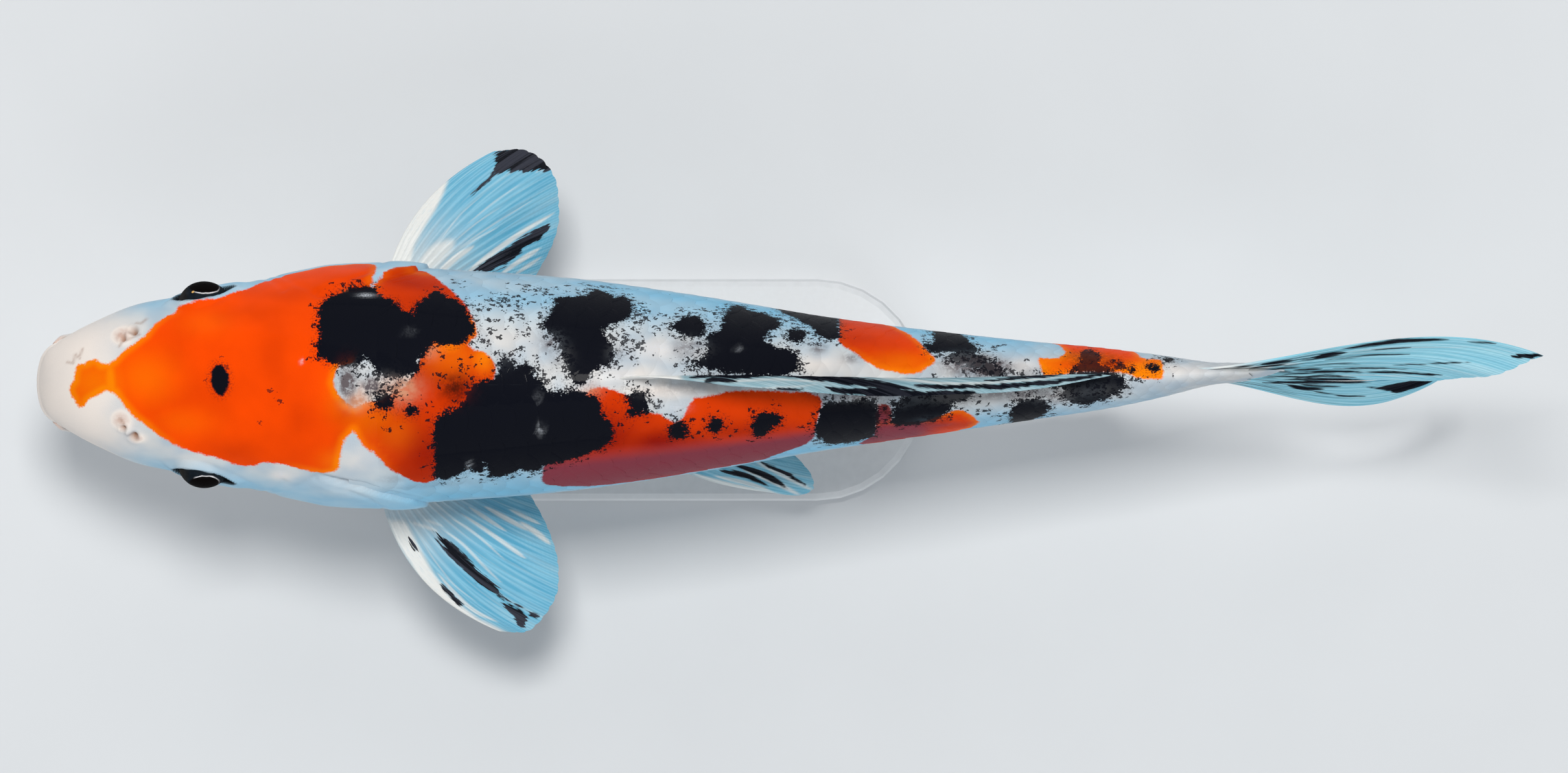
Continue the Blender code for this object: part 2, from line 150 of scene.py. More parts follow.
@dataclass(frozen=True)
class Profile:
    """A smooth curve through values at places, which doesn't overshoot them.

    With round_from, the square of the distance from that value is followed instead, so that an
    outline closes in a round end.
    """

    places: tuple[float, ...]
    values: tuple[float, ...]
    round_from: float | None = None

    def __call__(self, at: Array | float) -> Array:
        """Follows the curve.

        Args:
            at: Places to read, in the units of the profile's own places.

        Returns:
            The curve's value at each of them.
        """
        x = np.asarray(self.places, float)
        y = np.asarray(self.values, float)
        sign = 1.0
        if self.round_from is not None:
            sign = 1.0 if y[-1] >= self.round_from else -1.0
            y = (y - self.round_from) ** 2
        steps = np.diff(x)
        slopes = np.diff(y) / steps
        tangents = np.concatenate([slopes[:1], (slopes[1:] + slopes[:-1]) / 2, slopes[-1:]])
        tangents[1:-1][slopes[1:] * slopes[:-1] <= 0] = 0.0
        before = np.abs(np.concatenate([slopes[:1], slopes]))
        after = np.abs(np.concatenate([slopes, slopes[-1:]]))
        tangents = np.clip(tangents, -3 * np.minimum(before, after), 3 * np.minimum(before, after))
        at = np.clip(np.asarray(at, float), x[0], x[-1])
        i = np.clip(np.searchsorted(x, at, side="right") - 1, 0, len(steps) - 1)
        t = (at - x[i]) / steps[i]
        found = (
            (1 + 2 * t) * (1 - t) ** 2 * y[i]
            + t * (1 - t) ** 2 * steps[i] * tangents[i]
            + t * t * (3 - 2 * t) * y[i + 1]
            - t * t * (1 - t) * steps[i] * tangents[i + 1]
        )
        if self.round_from is None:
            return found
        return self.round_from + sign * np.sqrt(np.maximum(found, 0.0))


def line_at(points: Line, share: Array) -> Array:
    """Points at a share of the way along a smooth line, whose own points lie evenly over it."""
    places = tuple(np.linspace(0.0, 1.0, len(points)))
    columns = [Profile(places, column)(share) for column in zip(*points, strict=True)]
    return np.stack(columns, axis=-1)


def polyline_distance(points: Array, line: Array, closed: bool = False) -> Array:
    """Distance from each point to the nearest part of a line.

    Args:
        points: Places, one row each, in two dimensions.
        line: The line's corners, one row each.
        closed: True if the last corner joins the first.

    Returns:
        The distance of each point.
    """
    line = np.asarray(line, float)
    ends = np.roll(line, -1, axis=0) if closed else line[1:]
    starts = line if closed else line[:-1]
    best = np.full(len(points), 1e9)
    for start, end in zip(starts, ends, strict=True):
        along = end - start
        length = float(along @ along) or 1e-9
        t = np.clip((points - start) @ along / length, 0.0, 1.0)
        best = np.minimum(best, ((points - start - t[:, None] * along) ** 2).sum(axis=1))
    return np.sqrt(best)


def stroke(line: Line, width: float) -> Array:
    """Outline of a brush stroke that tapers at both ends; the width is half its greatest."""
    share = np.linspace(0.0, 1.0, 13)
    middle = line_at(line, share)
    ahead = unit(np.gradient(middle, axis=0))
    half = (1.25 * width * np.sqrt(np.sin(math.pi * share.clip(0.004, 0.996))))[:, None]
    across = np.column_stack([-ahead[:, 1], ahead[:, 0]]) * half
    return np.concatenate([middle + across, (middle - across)[::-1]])


def depth_inside(points: Array, outline: Array) -> Array:
    """Distance from each point to a closed outline, positive inside it.

    Args:
        points: Places, one row each, in two dimensions.
        outline: The outline's corners, one row each.

    Returns:
        The signed distance of each point.
    """
    outline = np.asarray(outline, float)
    x, y = points[:, 0], points[:, 1]
    inside = np.zeros(len(points), bool)
    for (x0, y0), (x1, y1) in zip(outline, np.roll(outline, -1, axis=0), strict=True):
        crosses = (y0 > y) != (y1 > y)
        inside ^= crosses & (x < (x1 - x0) * (y - y0) / ((y1 - y0) or 1e-9) + x0)
    return polyline_distance(points, outline, closed=True) * np.where(inside, 1.0, -1.0)


@dataclass
class BodyForm:
    """The fish's body as a surface, by distance along it and by the turn round its section."""

    # along, half width, back, belly, widest level
    stations: Line = (
        (0, 0, SNOUT_LEVEL, SNOUT_LEVEL, SNOUT_LEVEL), (1, 5.3, -4.4, -10.6, -7.5),
        (4, 8.3, 0.1, -13.4, -7.4), (8, 10.8, 4, -15.8, -7.2), (12, 12.8, 6.8, -17.6, -7),
        (20, 16.1, 11, -20.3, -6.5), (28, 17.7, 14.4, -22.5, -6.2), (36, 19.3, 17.2, -24.3, -6),
        (44, 21.2, 19.8, -25.8, -5.8), (52, 23.1, 22.3, -27.2, -5.5), (60, 24.5, 24.7, -28.4, -5),
        (70, 24.8, 27.4, -29.6, -4.2), (80, 23.6, 29.7, -30.5, -3.4), (95, 22.6, 32.2, -31.2, -2.4),
        (110, 21.2, 33.3, -31.2, -1.6), (125, 19.1, 32.8, -30.4, -1), (140, 16.7, 30.8, -28.6, -0.5),
        (155, 14.1, 27.6, -25.8, 0), (170, 11.9, 23.6, -22.2, 0.2), (185, 9.9, 19.4, -18.4, 0.3),
        (200, 8, 15.6, -14.8, 0.3), (212, 6.6, 13.2, -12.9, 0.2), (224, 4.7, 12, -12.2, 0.1),
        (232, 3.1, 12.2, -12.4, 0), (BODY_LENGTH, 2.4, 12.5, -12.7, 0), (240, 2.15, 12, -12.2, 0),
        (245, 1.75, 10.6, -10.8, 0), (250, 0.7, 8, -8.2, 0),
    )
    squareness: Line = (
        (0, 2.1, 2.1), (30, 2.35, 2.2), (70, 2.15, 2.3), (120, 2, 2.3), (250, 2, 2),
    )
    bend_line: Line = (
        (0, 0), (60, -0.6), (120, -0.3), (180, 0), (200, 0.4), (220, 1), (236, 1.8), (250, 2.5),
    )
    eye: tuple[float, float, float] = (34.2, 14.7, 4.0)
    eye_radius: float = 6.0
    eye_tilt: float = math.radians(30)
    lid_tilt: float = math.radians(16)
    orbit_swell: float = 0.9
    end: float = 250.0
    # distance along and turn over which normals are measured, and how near the snout they are
    normal_step: float = 0.25
    normal_turn: float = 0.002
    normal_nearest: tuple[float, float, float] = (0.02, 0.15, 0.3)
    profiles: dict[str, Profile] = field(init=False, default_factory=dict)

    def __post_init__(self) -> None:
        """Fits the profiles and measures the arcs of the sections."""
        along, width, back, belly, level = zip(*self.stations, strict=True)
        places, above, below = zip(*self.squareness, strict=True)
        self.profiles = {
            "width": Profile(along, width, 0.0),
            "back": Profile(along, back, SNOUT_LEVEL),
            "belly": Profile(along, belly, SNOUT_LEVEL),
            "level": Profile(along, level),
            "above": Profile(places, above),
            "below": Profile(places, below),
            "bend": Profile(*zip(*self.bend_line, strict=True)),
        }
        self._along = np.linspace(0.0, self.end, 501)
        self._turns = np.linspace(0.0, 0.5, 201)
        grid = self.base(*np.meshgrid(self._along, self._turns, indexing="ij"))
        steps = np.linalg.norm(np.diff(grid[..., 1:], axis=1), axis=-1)
        self._arcs = np.concatenate([np.zeros((len(self._along), 1)), np.cumsum(steps, axis=1)], axis=1)
        self._across = grid[..., 1] - self.bend(self._along)[:, None]
        self._up = grid[..., 2]
        self._half = self._arcs[:, -1]
        shares = self._arcs / (2 * np.maximum(self._half[:, None], 1e-6))
        self._turn_of = np.stack([np.interp(self._turns, row, self._turns) for row in shares])
        self._turn_of[0] = self._turn_of[1]

    def bend(self, along: Array) -> Array:
        """How far the midline lies from straight."""
        return self.profiles["bend"](along)

    def base(self, along: Array, turn: Array) -> Array:
        """Points of the plain body.

        Args:
            along: Distance from the snout.
            turn: 0 at the back, a quarter on the right side and a half at the belly.

        Returns:
            Body millimetres, in a last axis of three.
        """
        angle = 2 * math.pi * turn
        side, rise = np.sin(angle), np.cos(angle)
        found = {name: profile(along) for name, profile in self.profiles.items()}
        square = np.where(rise > 0, found["above"], found["below"])
        reach = np.where(rise > 0, found["back"], found["belly"]) - found["level"]
        across = np.sign(side) * np.abs(side) ** (2 / square) * found["width"]
        up = found["level"] + np.abs(rise) ** (2 / square) * reach
        ring = np.hypot(along - self.eye[0], up - self.eye[2])
        swell = self.orbit_swell * hump(ring, 6.4, 2.4) * (np.abs(across) > self.eye[1] / 2)
        across = across + np.sign(side) * swell
        return np.stack([along + 0 * turn, across + found["bend"], up], axis=-1)

    def half_round(self, along: Array) -> Array:
        """Distance round the skin from the back to the belly."""
        return np.interp(along, self._along, self._half)

    def turn_at(self, along: Array, arc: Array) -> Array:
        """The turn at a distance round the skin from the back, positive on the right."""
        share = np.abs(arc) / (2 * np.maximum(self.half_round(along), 1e-6))
        over = share > 0.5
        share = np.where(over, 1.0 - share, share)
        turn = between(self._turn_of, along / self._along[1], share / self._turns[1])
        return np.sign(arc) * np.where(over, 1.0 - turn, turn)

    def section(self, along: float, across: float) -> tuple[int, int, float]:
        """The section nearest to a place in plan, its widest turn, and how far out the place lies."""
        i = min(int(round(along / self._along[1])), len(self._along) - 1)
        return i, int(np.argmax(self._across[i])), abs(across - float(self.bend(along)))

    def under(self, along: float, across: float) -> tuple[float, float]:
        """Brings a place of a plan drawn from above back to where it lies on the skin."""
        i, widest, out = self.section(along, across)
        up = float(np.interp(out, self._across[i, : widest + 1], self._up[i, : widest + 1]))
        shrink = 1 - up / VIEW_HEIGHT
        return TOTAL_LENGTH / 2 + (along - TOTAL_LENGTH / 2) * shrink, across * shrink

    def arc_of(self, along: float, across: float) -> float:
        """Distance round the skin of a place given by its plan.

        Args:
            along: Distance from the snout.
            across: Distance from the frame's midline. Past the widest part of the body, the
                rest of the distance runs down the flank.

        Returns:
            The distance from the back, positive on the right.
        """
        i, widest, out = self.section(along, across)
        edge = float(self._across[i, widest])
        if out > edge:
            arc = self._arcs[i, widest] + out - edge
        else:
            arc = float(np.interp(out, self._across[i, : widest + 1], self._arcs[i, : widest + 1]))
        return math.copysign(arc, across - float(self.bend(along)))

    def surface(self, along: Array, arc: Array, lift: Array | float) -> Array:
        """Points over the plain body, by distance along it, round it and out along its normal."""
        turn = self.turn_at(along, arc)
        points = self.base(along, turn)
        return points + self.normal(along, turn) * np.asarray(lift)[..., None]

    def normal(self, along: Array, turn: Array) -> Array:
        """The outward normal of the plain body."""
        steps = (-self.normal_step, 0.0, self.normal_step)
        near, here, far = (
            np.maximum(along + step, least)
            for step, least in zip(steps, self.normal_nearest, strict=True)
        )
        lengthwise = self.base(far, turn) - self.base(near, turn)
        crosswise = self.base(here, turn + self.normal_turn) - self.base(here, turn - self.normal_turn)
        return unit(np.cross(lengthwise, crosswise))


# Outlines of the patches in plan, along and across: first the red and orange ones, which breeders
# call hi, then the black ones, sumi.
HI_PATCHES = (
    # forehead and cheeks
    (
        (14.5, 3.6), (16, 4.6), (17.5, 6.2), (20, 8), (22.3, 9.7), (24.2, 12), (26.5, 13.5), (28, 14),
        (28.8, 15.3), (32, 15.6), (34, 16), (36, 16.6), (40, 18.3), (44, 19.5), (46, 20.5), (50, 21.6),
        (56, 22.9), (60, 23.5), (64, 23.9), (67, 23.9), (68.5, 23.2), (68.2, 21.4), (67.3, 20), (67, 12),
        (64, 4), (61, 3.4), (60.3, 2.2), (59.7, 0), (60.6, -2), (62.4, -4.2), (64, -5), (66, -4),
        (72, -3.2), (74, -5), (70, -12), (67.5, -14), (66, -13), (64.8, -11.5), (63.8, -9.6), (62, -11.5),
        (61.5, -13), (61.2, -15), (60.8, -17.2), (60, -18), (57.5, -18.3), (54, -17.6), (50, -16.5),
        (46, -16), (44, -16.7), (41, -16.8), (38.5, -15.9), (36, -15), (32, -14), (28, -12.6),
        (24.5, -10.5), (22.5, -8.8), (20, -7), (18.5, -5.3), (17.2, -3.8), (16, -2.2), (15, -1.7),
    ),
    # snout
    (
        (15.5, -1.9), (14, -1.7), (12, -2.8), (10.5, -3.7), (9.8, -4.8), (9, -5.1), (8.3, -4.5),
        (7.2, -2.5), (6.8, -1), (7.7, 0.5), (8, 2.5), (8.5, 3.6), (10, 4), (12, 4.8), (13.3, 3.8),
        (15.5, 3.9),
    ),
    # right shoulder
    (
        (68.5, 20.3), (69.5, 21.2), (72, 22.4), (76, 22.8), (78, 22.5), (80, 21.5), (82, 19.8), (84, 18.2),
        (86.5, 15.7), (88.2, 12), (88.8, 9.8), (87, 8), (80, 8), (70, 14), (67, 18),
    ),
    # nape to left shoulder
    (
        (70, -3.2), (75, 0), (77, 4.5), (77.5, 7), (79.5, 8.6), (84, 8.4), (86, 8.3), (88, 6.6), (90, 6.3),
        (91.5, 5), (92.4, 3), (92.2, 1), (90, -6), (84, -12), (82, -16), (80.2, -19.8), (78, -20.3),
        (76, -20), (73, -18.6), (71, -17.4), (69.5, -15.9), (68, -14.3), (66, -12), (66, -6),
    ),
    # left flank
    (
        (110, -2.6), (111, -1.6), (112, -1), (114, -1), (116, -1.5), (118, -2.2), (119.5, -3), (122.5, -6),
        (125, -6.3), (128.5, -8.3), (130, -7), (131, -4.5), (132, -3.2), (135, -2.8), (139, -1.8),
        (144, -1.6), (150, -1.8), (155, -2), (157, -2.8), (158, -4.3), (157.5, -6), (156.8, -8.5),
        (156.3, -11), (154.5, -12.6), (150, -14.1), (146, -15.6), (142, -16.4), (136, -17.4), (128, -18.8),
        (120, -20), (112, -20.9), (106, -21), (102.5, -20.6), (101.5, -19.8), (101.8, -17), (105, -14),
    ),
    # right, behind the dorsal fin's front
    (
        (161, 13.4), (164, 13.2), (168, 12.3), (172, 11.4), (175, 10), (177, 8.5), (179.5, 6), (180.7, 4.8),
        (180, 3.8), (178.5, 2.8), (177, 1.8), (174, 1.8), (171, 2.3), (169, 2.8), (167.5, 3.8), (166, 4.8),
        (164, 6.3), (162, 7.3), (161, 8.5),
    ),
    # left, under the dorsal fin's rear
    (
        (165, -12.4), (168, -12.6), (176, -11.4), (184, -10), (187.5, -9.2), (189.3, -8), (188, -6.8),
        (186, -5.7), (184, -5.7), (182, -6.5), (178, -8), (172, -8.2), (171.5, -4.6), (169, -4.2),
        (168.4, -7), (168, -10.8),
    ),
    # tail stalk
    (
        (201, 5.2), (203, 5), (205.2, 5.1), (206.5, 6), (206, 7), (203.8, 8.1), (208, 8.2), (212, 7.8),
        (216, 7), (220, 6.4), (221.5, 5.3), (223, 4.8), (225.7, 4.8), (226.2, 2.5), (226, 0.5), (223, 0.6),
        (220.5, 1), (219, 1.9), (217, 2), (212, 2.2), (208, 2), (205, 1), (203, 0.6), (202, 2), (201.2, 4),
    ),
)

SUMI_PATCHES = (
    # forehead
    (
        (35.4, 0.6), (35.6, 2.2), (36.4, 3.4), (37.5, 3.3), (38.4, 1.9), (38.7, 0.2), (38.3, -1.4),
        (37.5, -2.4), (36.5, -2), (35.7, -0.8),
    ),
    # right shoulder
    (
        (57, 5.5), (56.5, 8), (57.5, 9), (57, 11), (56.7, 13.5), (57.5, 15.8), (59.5, 17.2), (61, 18.6),
        (63, 19.3), (66, 19.4), (68.2, 18.9), (68.7, 17.6), (70, 17), (71.5, 16.8), (72.5, 15.8),
        (73.5, 14.5), (75, 14), (75.8, 13), (76.3, 14.8), (76.6, 16), (78, 16.7), (79.5, 18), (81, 18.4),
        (83, 17), (85.5, 16), (86.5, 14), (87, 12.5), (88, 11), (87.5, 9.5), (86, 8.5), (84, 7.8), (80, 8),
        (79, 7.6), (78, 5.5), (76.6, 5), (76.6, 2.2), (75, 1.3), (72, 1.2), (70, 1.7), (68.5, 2.5),
        (67.5, 4), (66, 5.2), (64, 3.2), (62, 3.3), (60.5, 3.6), (59, 4.2),
    ),
    # dots on the nape
    ((68, -3.6), (69.3, -2.1), (71.2, -2.4), (71.6, -4.4), (70.2, -5.5), (68.4, -4.9)),
    ((74.2, -5.4), (75.2, -4.7), (76.3, -5.4), (75.8, -6.5), (74.5, -6.4)),
    # left saddle
    (
        (80.2, -19.2), (80, -8), (82, -6.5), (84, -5.2), (86, -4), (87, -1.5), (88.5, 0), (92, 0.5),
        (93, 3), (94, 4.8), (95.5, 4.5), (96, 3), (98, 3.5), (99.5, 3), (100, 0.8), (102, -0.5), (103, -2),
        (105, -2), (108, -1.7), (110, -2.4), (113, -3.2), (113.3, -6), (115, -8), (116, -9.5),
        (115.5, -11.5), (114, -13), (112, -13.8), (109, -15), (105.5, -16), (102, -16.8), (100, -18),
        (97.5, -17.6), (95, -18.5), (91.5, -19.4), (90.6, -17.2), (90, -16), (89.5, -18.2), (87.6, -18),
        (87, -16.4), (86, -17.8), (84, -19), (82, -19.6),
    ),
    # right, in front of the dorsal fin
    (
        (103, 13.5), (102, 12), (102, 10.8), (104, 9.8), (105.2, 7.8), (106, 5), (107, 3.2), (107.5, 0.5),
        (109, -0.6), (110.5, 0.2), (111.5, 2.2), (114, 3.5), (116, 4.5), (116.3, 6.5), (115.5, 8), (114, 9),
        (114, 11), (115.5, 12), (118, 12.6), (119.5, 14), (119.5, 16.5), (118, 17.5), (116, 17),
        (114.5, 18.2), (112, 18.9), (111, 17.6), (108, 17.3), (104.5, 17.2), (104, 15),
    ),
    # right, beside the dorsal fin
    (
        (127.6, 10.9), (129, 12.6), (131, 13.6), (133, 13.3), (134.2, 11.6), (134, 9.8), (132, 9.2),
        (130, 9.9),
    ),
    (
        (134.5, 9), (136, 10.3), (138, 10.5), (138, 13), (139.5, 15.4), (141, 15.7), (143, 14.7),
        (147, 13.7), (149, 12.8), (149.3, 11.5), (146.5, 10), (146, 8.5), (148, 7.2), (151.5, 6.5),
        (153, 5), (153, 3), (151, 1.6), (146, 1.4), (140, 2), (136, 2.6), (130.5, 4.1), (134.5, 5),
        (135, 7),
    ),
    (
        (148.6, 16.6), (152, 15.8), (155, 15), (158, 14), (161, 13.2), (161.3, 9.2), (159, 8.8), (157, 9.6),
        (155.6, 11.4), (153, 12.8), (150, 14.2), (148.4, 15.8),
    ),
    ((150.8, 9.8), (152, 11), (154.4, 10.2), (153.8, 8.4), (151.8, 8.4)),
    (
        (178, 7.8), (180.3, 8), (180, 10.6), (183, 10.6), (186, 9.6), (187.5, 8), (189.5, 6.3), (186, 6.2),
        (182.5, 6.5), (179.5, 6.2),
    ),
    # left, behind the flank's red
    (
        (158, -4.3), (160, -4), (163, -4), (168, -3.5), (169, -5), (169, -8), (168, -11), (163, -12.2),
        (159, -12.5), (157, -11), (156.3, -9), (157.2, -6.5),
    ),
    (
        (171.5, -8), (172.5, -5), (173.5, -3.5), (176, -2), (179, -1.2), (184, -1.2), (187.5, -1.8),
        (187.8, -3), (186, -3.6), (184, -4.2), (183, -6), (181, -7.5), (177, -8.5), (173, -8.8),
    ),
    (
        (195.5, -6.5), (196.5, -4.5), (199, -3.5), (202, -3.7), (203.3, -4.8), (202, -6.7), (199, -7.9),
        (196, -8.2),
    ),
    (
        (195, 0.4), (200, 0.4), (205, 1.4), (210, 2.2), (216, 2.2), (218, 1.2), (218.4, -0.6), (217, -2.2),
        (214, -3.4), (211, -4.4), (208, -4.2), (206, -2.6), (207, -1.2), (201, -0.6),
    ),
    (
        (183.4, 5.8), (187, 6.6), (190, 5.2), (192.4, 3.2), (195, 1.4), (192, 1.2), (189.6, 2.6), (186, 4),
        (184, 4.2),
    ),
    # spots on the flank's red and on the tail stalk
    (
        (118, -3.2), (119.6, -2), (121.4, -2), (122.6, -3), (122.8, -6), (121, -6.6), (118.8, -6.8),
        (118.6, -6), (120, -4.6),
    ),
    ((127, -9.8), (128, -8.2), (130, -8), (130.7, -9.6), (130, -11.4), (128, -11.4)),
    ((134.8, -8.6), (135.6, -7.2), (137.6, -7.4), (138, -8.8), (137, -10.2), (135.2, -9.8)),
    (
        (144, -10.6), (143.8, -8), (144.8, -6.4), (148, -6.2), (149.6, -7.4), (149, -8.8), (147.6, -9),
        (146.4, -10.6), (145, -11.2),
    ),
    (
        (207.6, 2.4), (209.6, 4), (209.6, 6), (211.4, 6.8), (213.2, 5.6), (213.4, 3.6), (216, 3),
        (212, 2.2),
    ),
    ((216.6, 3.4), (217, 4.4), (218, 4.2), (218.4, 3.2), (217.4, 2.8)),
    ((222.8, 3.4), (224, 4.2), (225.2, 2.9), (224.2, 2)),
    ((219.2, 2.6), (219.8, 3.4), (220.6, 2.6), (220, 1.9)),
    ((226, 4.6), (227, 5.3), (228.1, 4.9), (227.4, 4.1)),
)

# How dark the red is along the body.
RED_DEPTH = Profile(
    (0, 50, 60, 66, 74, 100, 135, 150, 160, 168, 176, 200, 215, 250),
    (0.02, 0.12, 0.16, 0.26, 0.52, 0.55, 0.40, 0.40, 0.44, 0.42, 0.34, 0.22, 0.16, 0.1),
)

# Where the row of pores runs down each side, as a share of the way from back to belly.
PORE_LINE = Profile((60, 80, 110, 150, 190, 240), (0.44, 0.485, 0.52, 0.525, 0.515, 0.5))

# Soft fields: along, across, reach along, reach across, strength.
GOLD = (
    (68, -7.5, 5, 3, 0.32), (66, -7, 5, 5, 0.34), (84, 5, 7, 4, 0.36), (90, 5, 2.4, 3, 0.8),
    (82.6, 7.4, 4, 1.6, 0.75), (12, 0, 7, 5, 0.6), (61, -3, 3, 5, 0.3), (88, 11, 2.5, 3, 0.7),
    (78, 22, 5, 2, 0.3), (203, 3, 4, 3, 0.6), (223, 3, 5, 3, 1), (60, -16, 3, 3, 0.4), (210, 5, 6, 3, 0.5),
    (174, 4, 7, 3, 0.4), (22, 1, 6, 5, 0.4), (72, -10, 4, 4, 0.25), (30, -8, 6, 3, 0.2),
    (34, 12, 5, 3, 0.15),
)
# Deeper red: partly the red's own darker tone, partly painted shade on the left side, away from the key
# light.
DEEP_AND_SHADE = (
    (118, -10, 5, 3, 0.25), (78, -16, 5, 8, 0.8), (114, -11, 9, 6, 1), (126, -12, 9, 4, 1.2),
    (142, -10, 10, 3, 0.7), (72, 20, 5, 3, 0.35), (85, -1, 3, 3, 0.9), (170, -8, 4, 6, 0.8),
    (182, -9, 8, 3, 0.8), (52, 18, 8, 3, 0.3), (40, -14, 6, 3, 0.5), (36, -2, 9, 5, 0.4),
    (48, 5, 3, 9, 0.35), (53, -8, 3, 7, 0.35), (165, 9, 4, 3, 0.4), (28, 6, 3, 6, 0.25),
    (44, 14, 6, 3, 0.3), (67, -8, 5, 5, 0.5), (62, -12, 2, 4, 0.4), (63.4, -6, 4, 3.4, 0.6),
    (80, 2, 4, 3, 0.4), (208, 6, 6, 3, 0.4), (74, 20, 8, 2.4, 0.5),
)
DULL = (
    (180, -8.8, 4, 1.2, 0.7), (170, -6.4, 3, 4.4, 1.15), (164, 13.2, 5, 1.2, 0.5), (212, 8, 8, 1.6, 0.7),
)
HAZE = (
    (180, -8, 3.5, 1.8, 0.45), (62.6, 0, 1.9, 3, 1.5), (67.3, -0.8, 1.9, 2, 1.5), (71, 0, 2.5, 1.5, 0.8),
    (103.4, 8, 2, 2.2, 0.9), (131, 7.2, 3, 2.2, 0.8), (157, 7, 1.5, 1.5, 0.9), (187.5, 4, 5, 2.6, 1.7),
    (165, -2.4, 8, 1.4, 0.9), (193, -2, 7, 2, 0.7), (205, -3, 4, 2, 0.8), (177, -3, 3, 1.5, 0.5),
    (128, -1, 9, 1.5, 0.35), (105, 5, 2, 3, 0.4), (163.6, 5, 1.6, 1.2, 0.8), (212, 5.4, 6, 2.5, 0.55),
    (72, -19.5, 3, 1.2, 0.3), (93, 5, 3, 2, 0.2), (116.6, 6, 1.6, 2, 0.5), (199, 2, 5, 1.6, 0.3),
    (172, -4.4, 3, 1.2, 0.6), (80, -20.6, 9, 1.2, 0.25), (191.5, 3, 4, 2.2, 1.7), (198, -2.4, 5, 1.6, 0.9),
    (212, -2, 6, 2, 0.3), (216, 4, 2.6, 2, 0.9), (211, 4.4, 3, 2.4, 0.9), (84, -1, 2.6, 2.4, 1),
    (184, -3, 6, 1.4, 0.8), (170.5, -6, 1.2, 3, 0.8), (156, -1.6, 3, 1.2, 0.6),
)
SPECKLE = (
    (94, 16.5, 4.5, 3, 1), (88, 13, 2.5, 3, 0.7), (97, 11, 5, 4, 0.42), (84, 20, 2.5, 1.5, 0.5),
    (100, 19, 6, 2.5, 0.5), (90.5, 9, 2, 2.5, 0.6), (121, 13.4, 2.4, 4.4, 1.25), (117, 9.6, 2.8, 3, 1.1),
    (113, 19.4, 6, 1.5, 0.9), (120, 7, 3, 2.5, 0.5), (131, 14.5, 4, 2, 0.7), (136, 12.5, 3, 2, 0.7),
    (125, 12, 3, 4, 0.3), (150, 12.5, 3, 2, 0.5), (147, 10, 2, 1.5, 0.6), (192, 7, 3.5, 2, 0.6),
    (196, 2, 3, 2, 0.4), (71, -0.5, 4, 2, 0.8), (66, 1.5, 2.5, 2, 0.6), (94, 6, 4, 2, 0.5),
    (48, -4, 3, 3, 0.12), (76, -6, 4, 4, 0.35), (84, 3, 6, 4, 0.3), (102, 13, 2, 4, 0.6),
    (124, -4.6, 3, 1.5, 0.5), (191, -6, 3, 2, 0.35), (205, -3.5, 3, 2, 0.6), (163, -1.8, 5, 1.2, 0.4),
    (219.5, 0.6, 1.5, 1.2, 0.7),
)
PEACH = (
    (73.4, -1.2, 3.4, 2.6, 1), (75.6, -2.2, 1.6, 2, 0.4), (111.2, -1.6, 2.2, 1.3, 0.6),
    (79.4, 6.2, 1.4, 1.6, 0.5), (69.6, -2.2, 1.4, 1.2, 0.5), (64.4, -3.8, 2.2, 1.6, 1),
    (65.3, -1.8, 0.9, 1.5, 0.5),
)
# Blush: warm cream, and pink pads where it passes 1. Two spots are painted light: the one at (126, -1.8)
# lightens the skin where the dorsal fin's shadow falls, and the one at (49.4, -18.8) is a painted highlight.
BLUSH_AND_PAINTED_LIGHT = (
    (17.4, 9.6, 2.6, 2.6, 2), (17.2, -7.6, 2.6, 2.6, 1.8), (20.6, -11.2, 1.6, 1.2, 1.8),
    (65.6, -3.2, 2, 1.6, 1.9), (71.6, -1.2, 4.4, 2, 2), (126, -1.8, 9, 1.4, 0.9), (74, 21.5, 6, 1.4, 0.4),
    (66, -15, 3, 4, 0.3), (109, -2, 3, 1.5, 0.5), (182, 3, 3, 2, 0.4), (94, 9, 6, 3, 0.2),
    (125, 6.4, 5, 2.4, 0.6), (118, 1.6, 8, 2, 0.55), (157, 3.6, 6, 2, 0.6), (198, 3.4, 4, 2.5, 0.6),
    (231, 2.6, 7, 2, 0.5), (49.4, -18.8, 2.4, 1.8, 0.7),
)
# Painted glints: small bright highlights, over any colour.
PAINTED_GLINTS = (
    (66.4, 17.6, 1.5, 0.5, 0.75), (101.2, -9.4, 0.45, 1.2, 0.5), (128.6, -5.2, 1.9, 0.7, 0.7),
    (49.4, -18.6, 1, 1.6, 0.5), (75, 10.4, 1, 0.5, 0.16), (125, 7, 2.4, 1.4, 0.5),
    (53.4, 4.2, 0.3, 0.4, 0.85), (141, 7, 0.6, 0.5, 0.3), (186, 3.4, 1.6, 0.7, 0.25),
    (87, -16.8, 0.4, 1.4, 0.4), (126, -4.4, 1.2, 0.5, 0.4), (100.9, -3, 0.4, 0.9, 0.25),
)
SOFT_FIELDS = {"haze": HAZE, "speckle": SPECKLE, "pearl": PAINTED_GLINTS, "peach": PEACH}


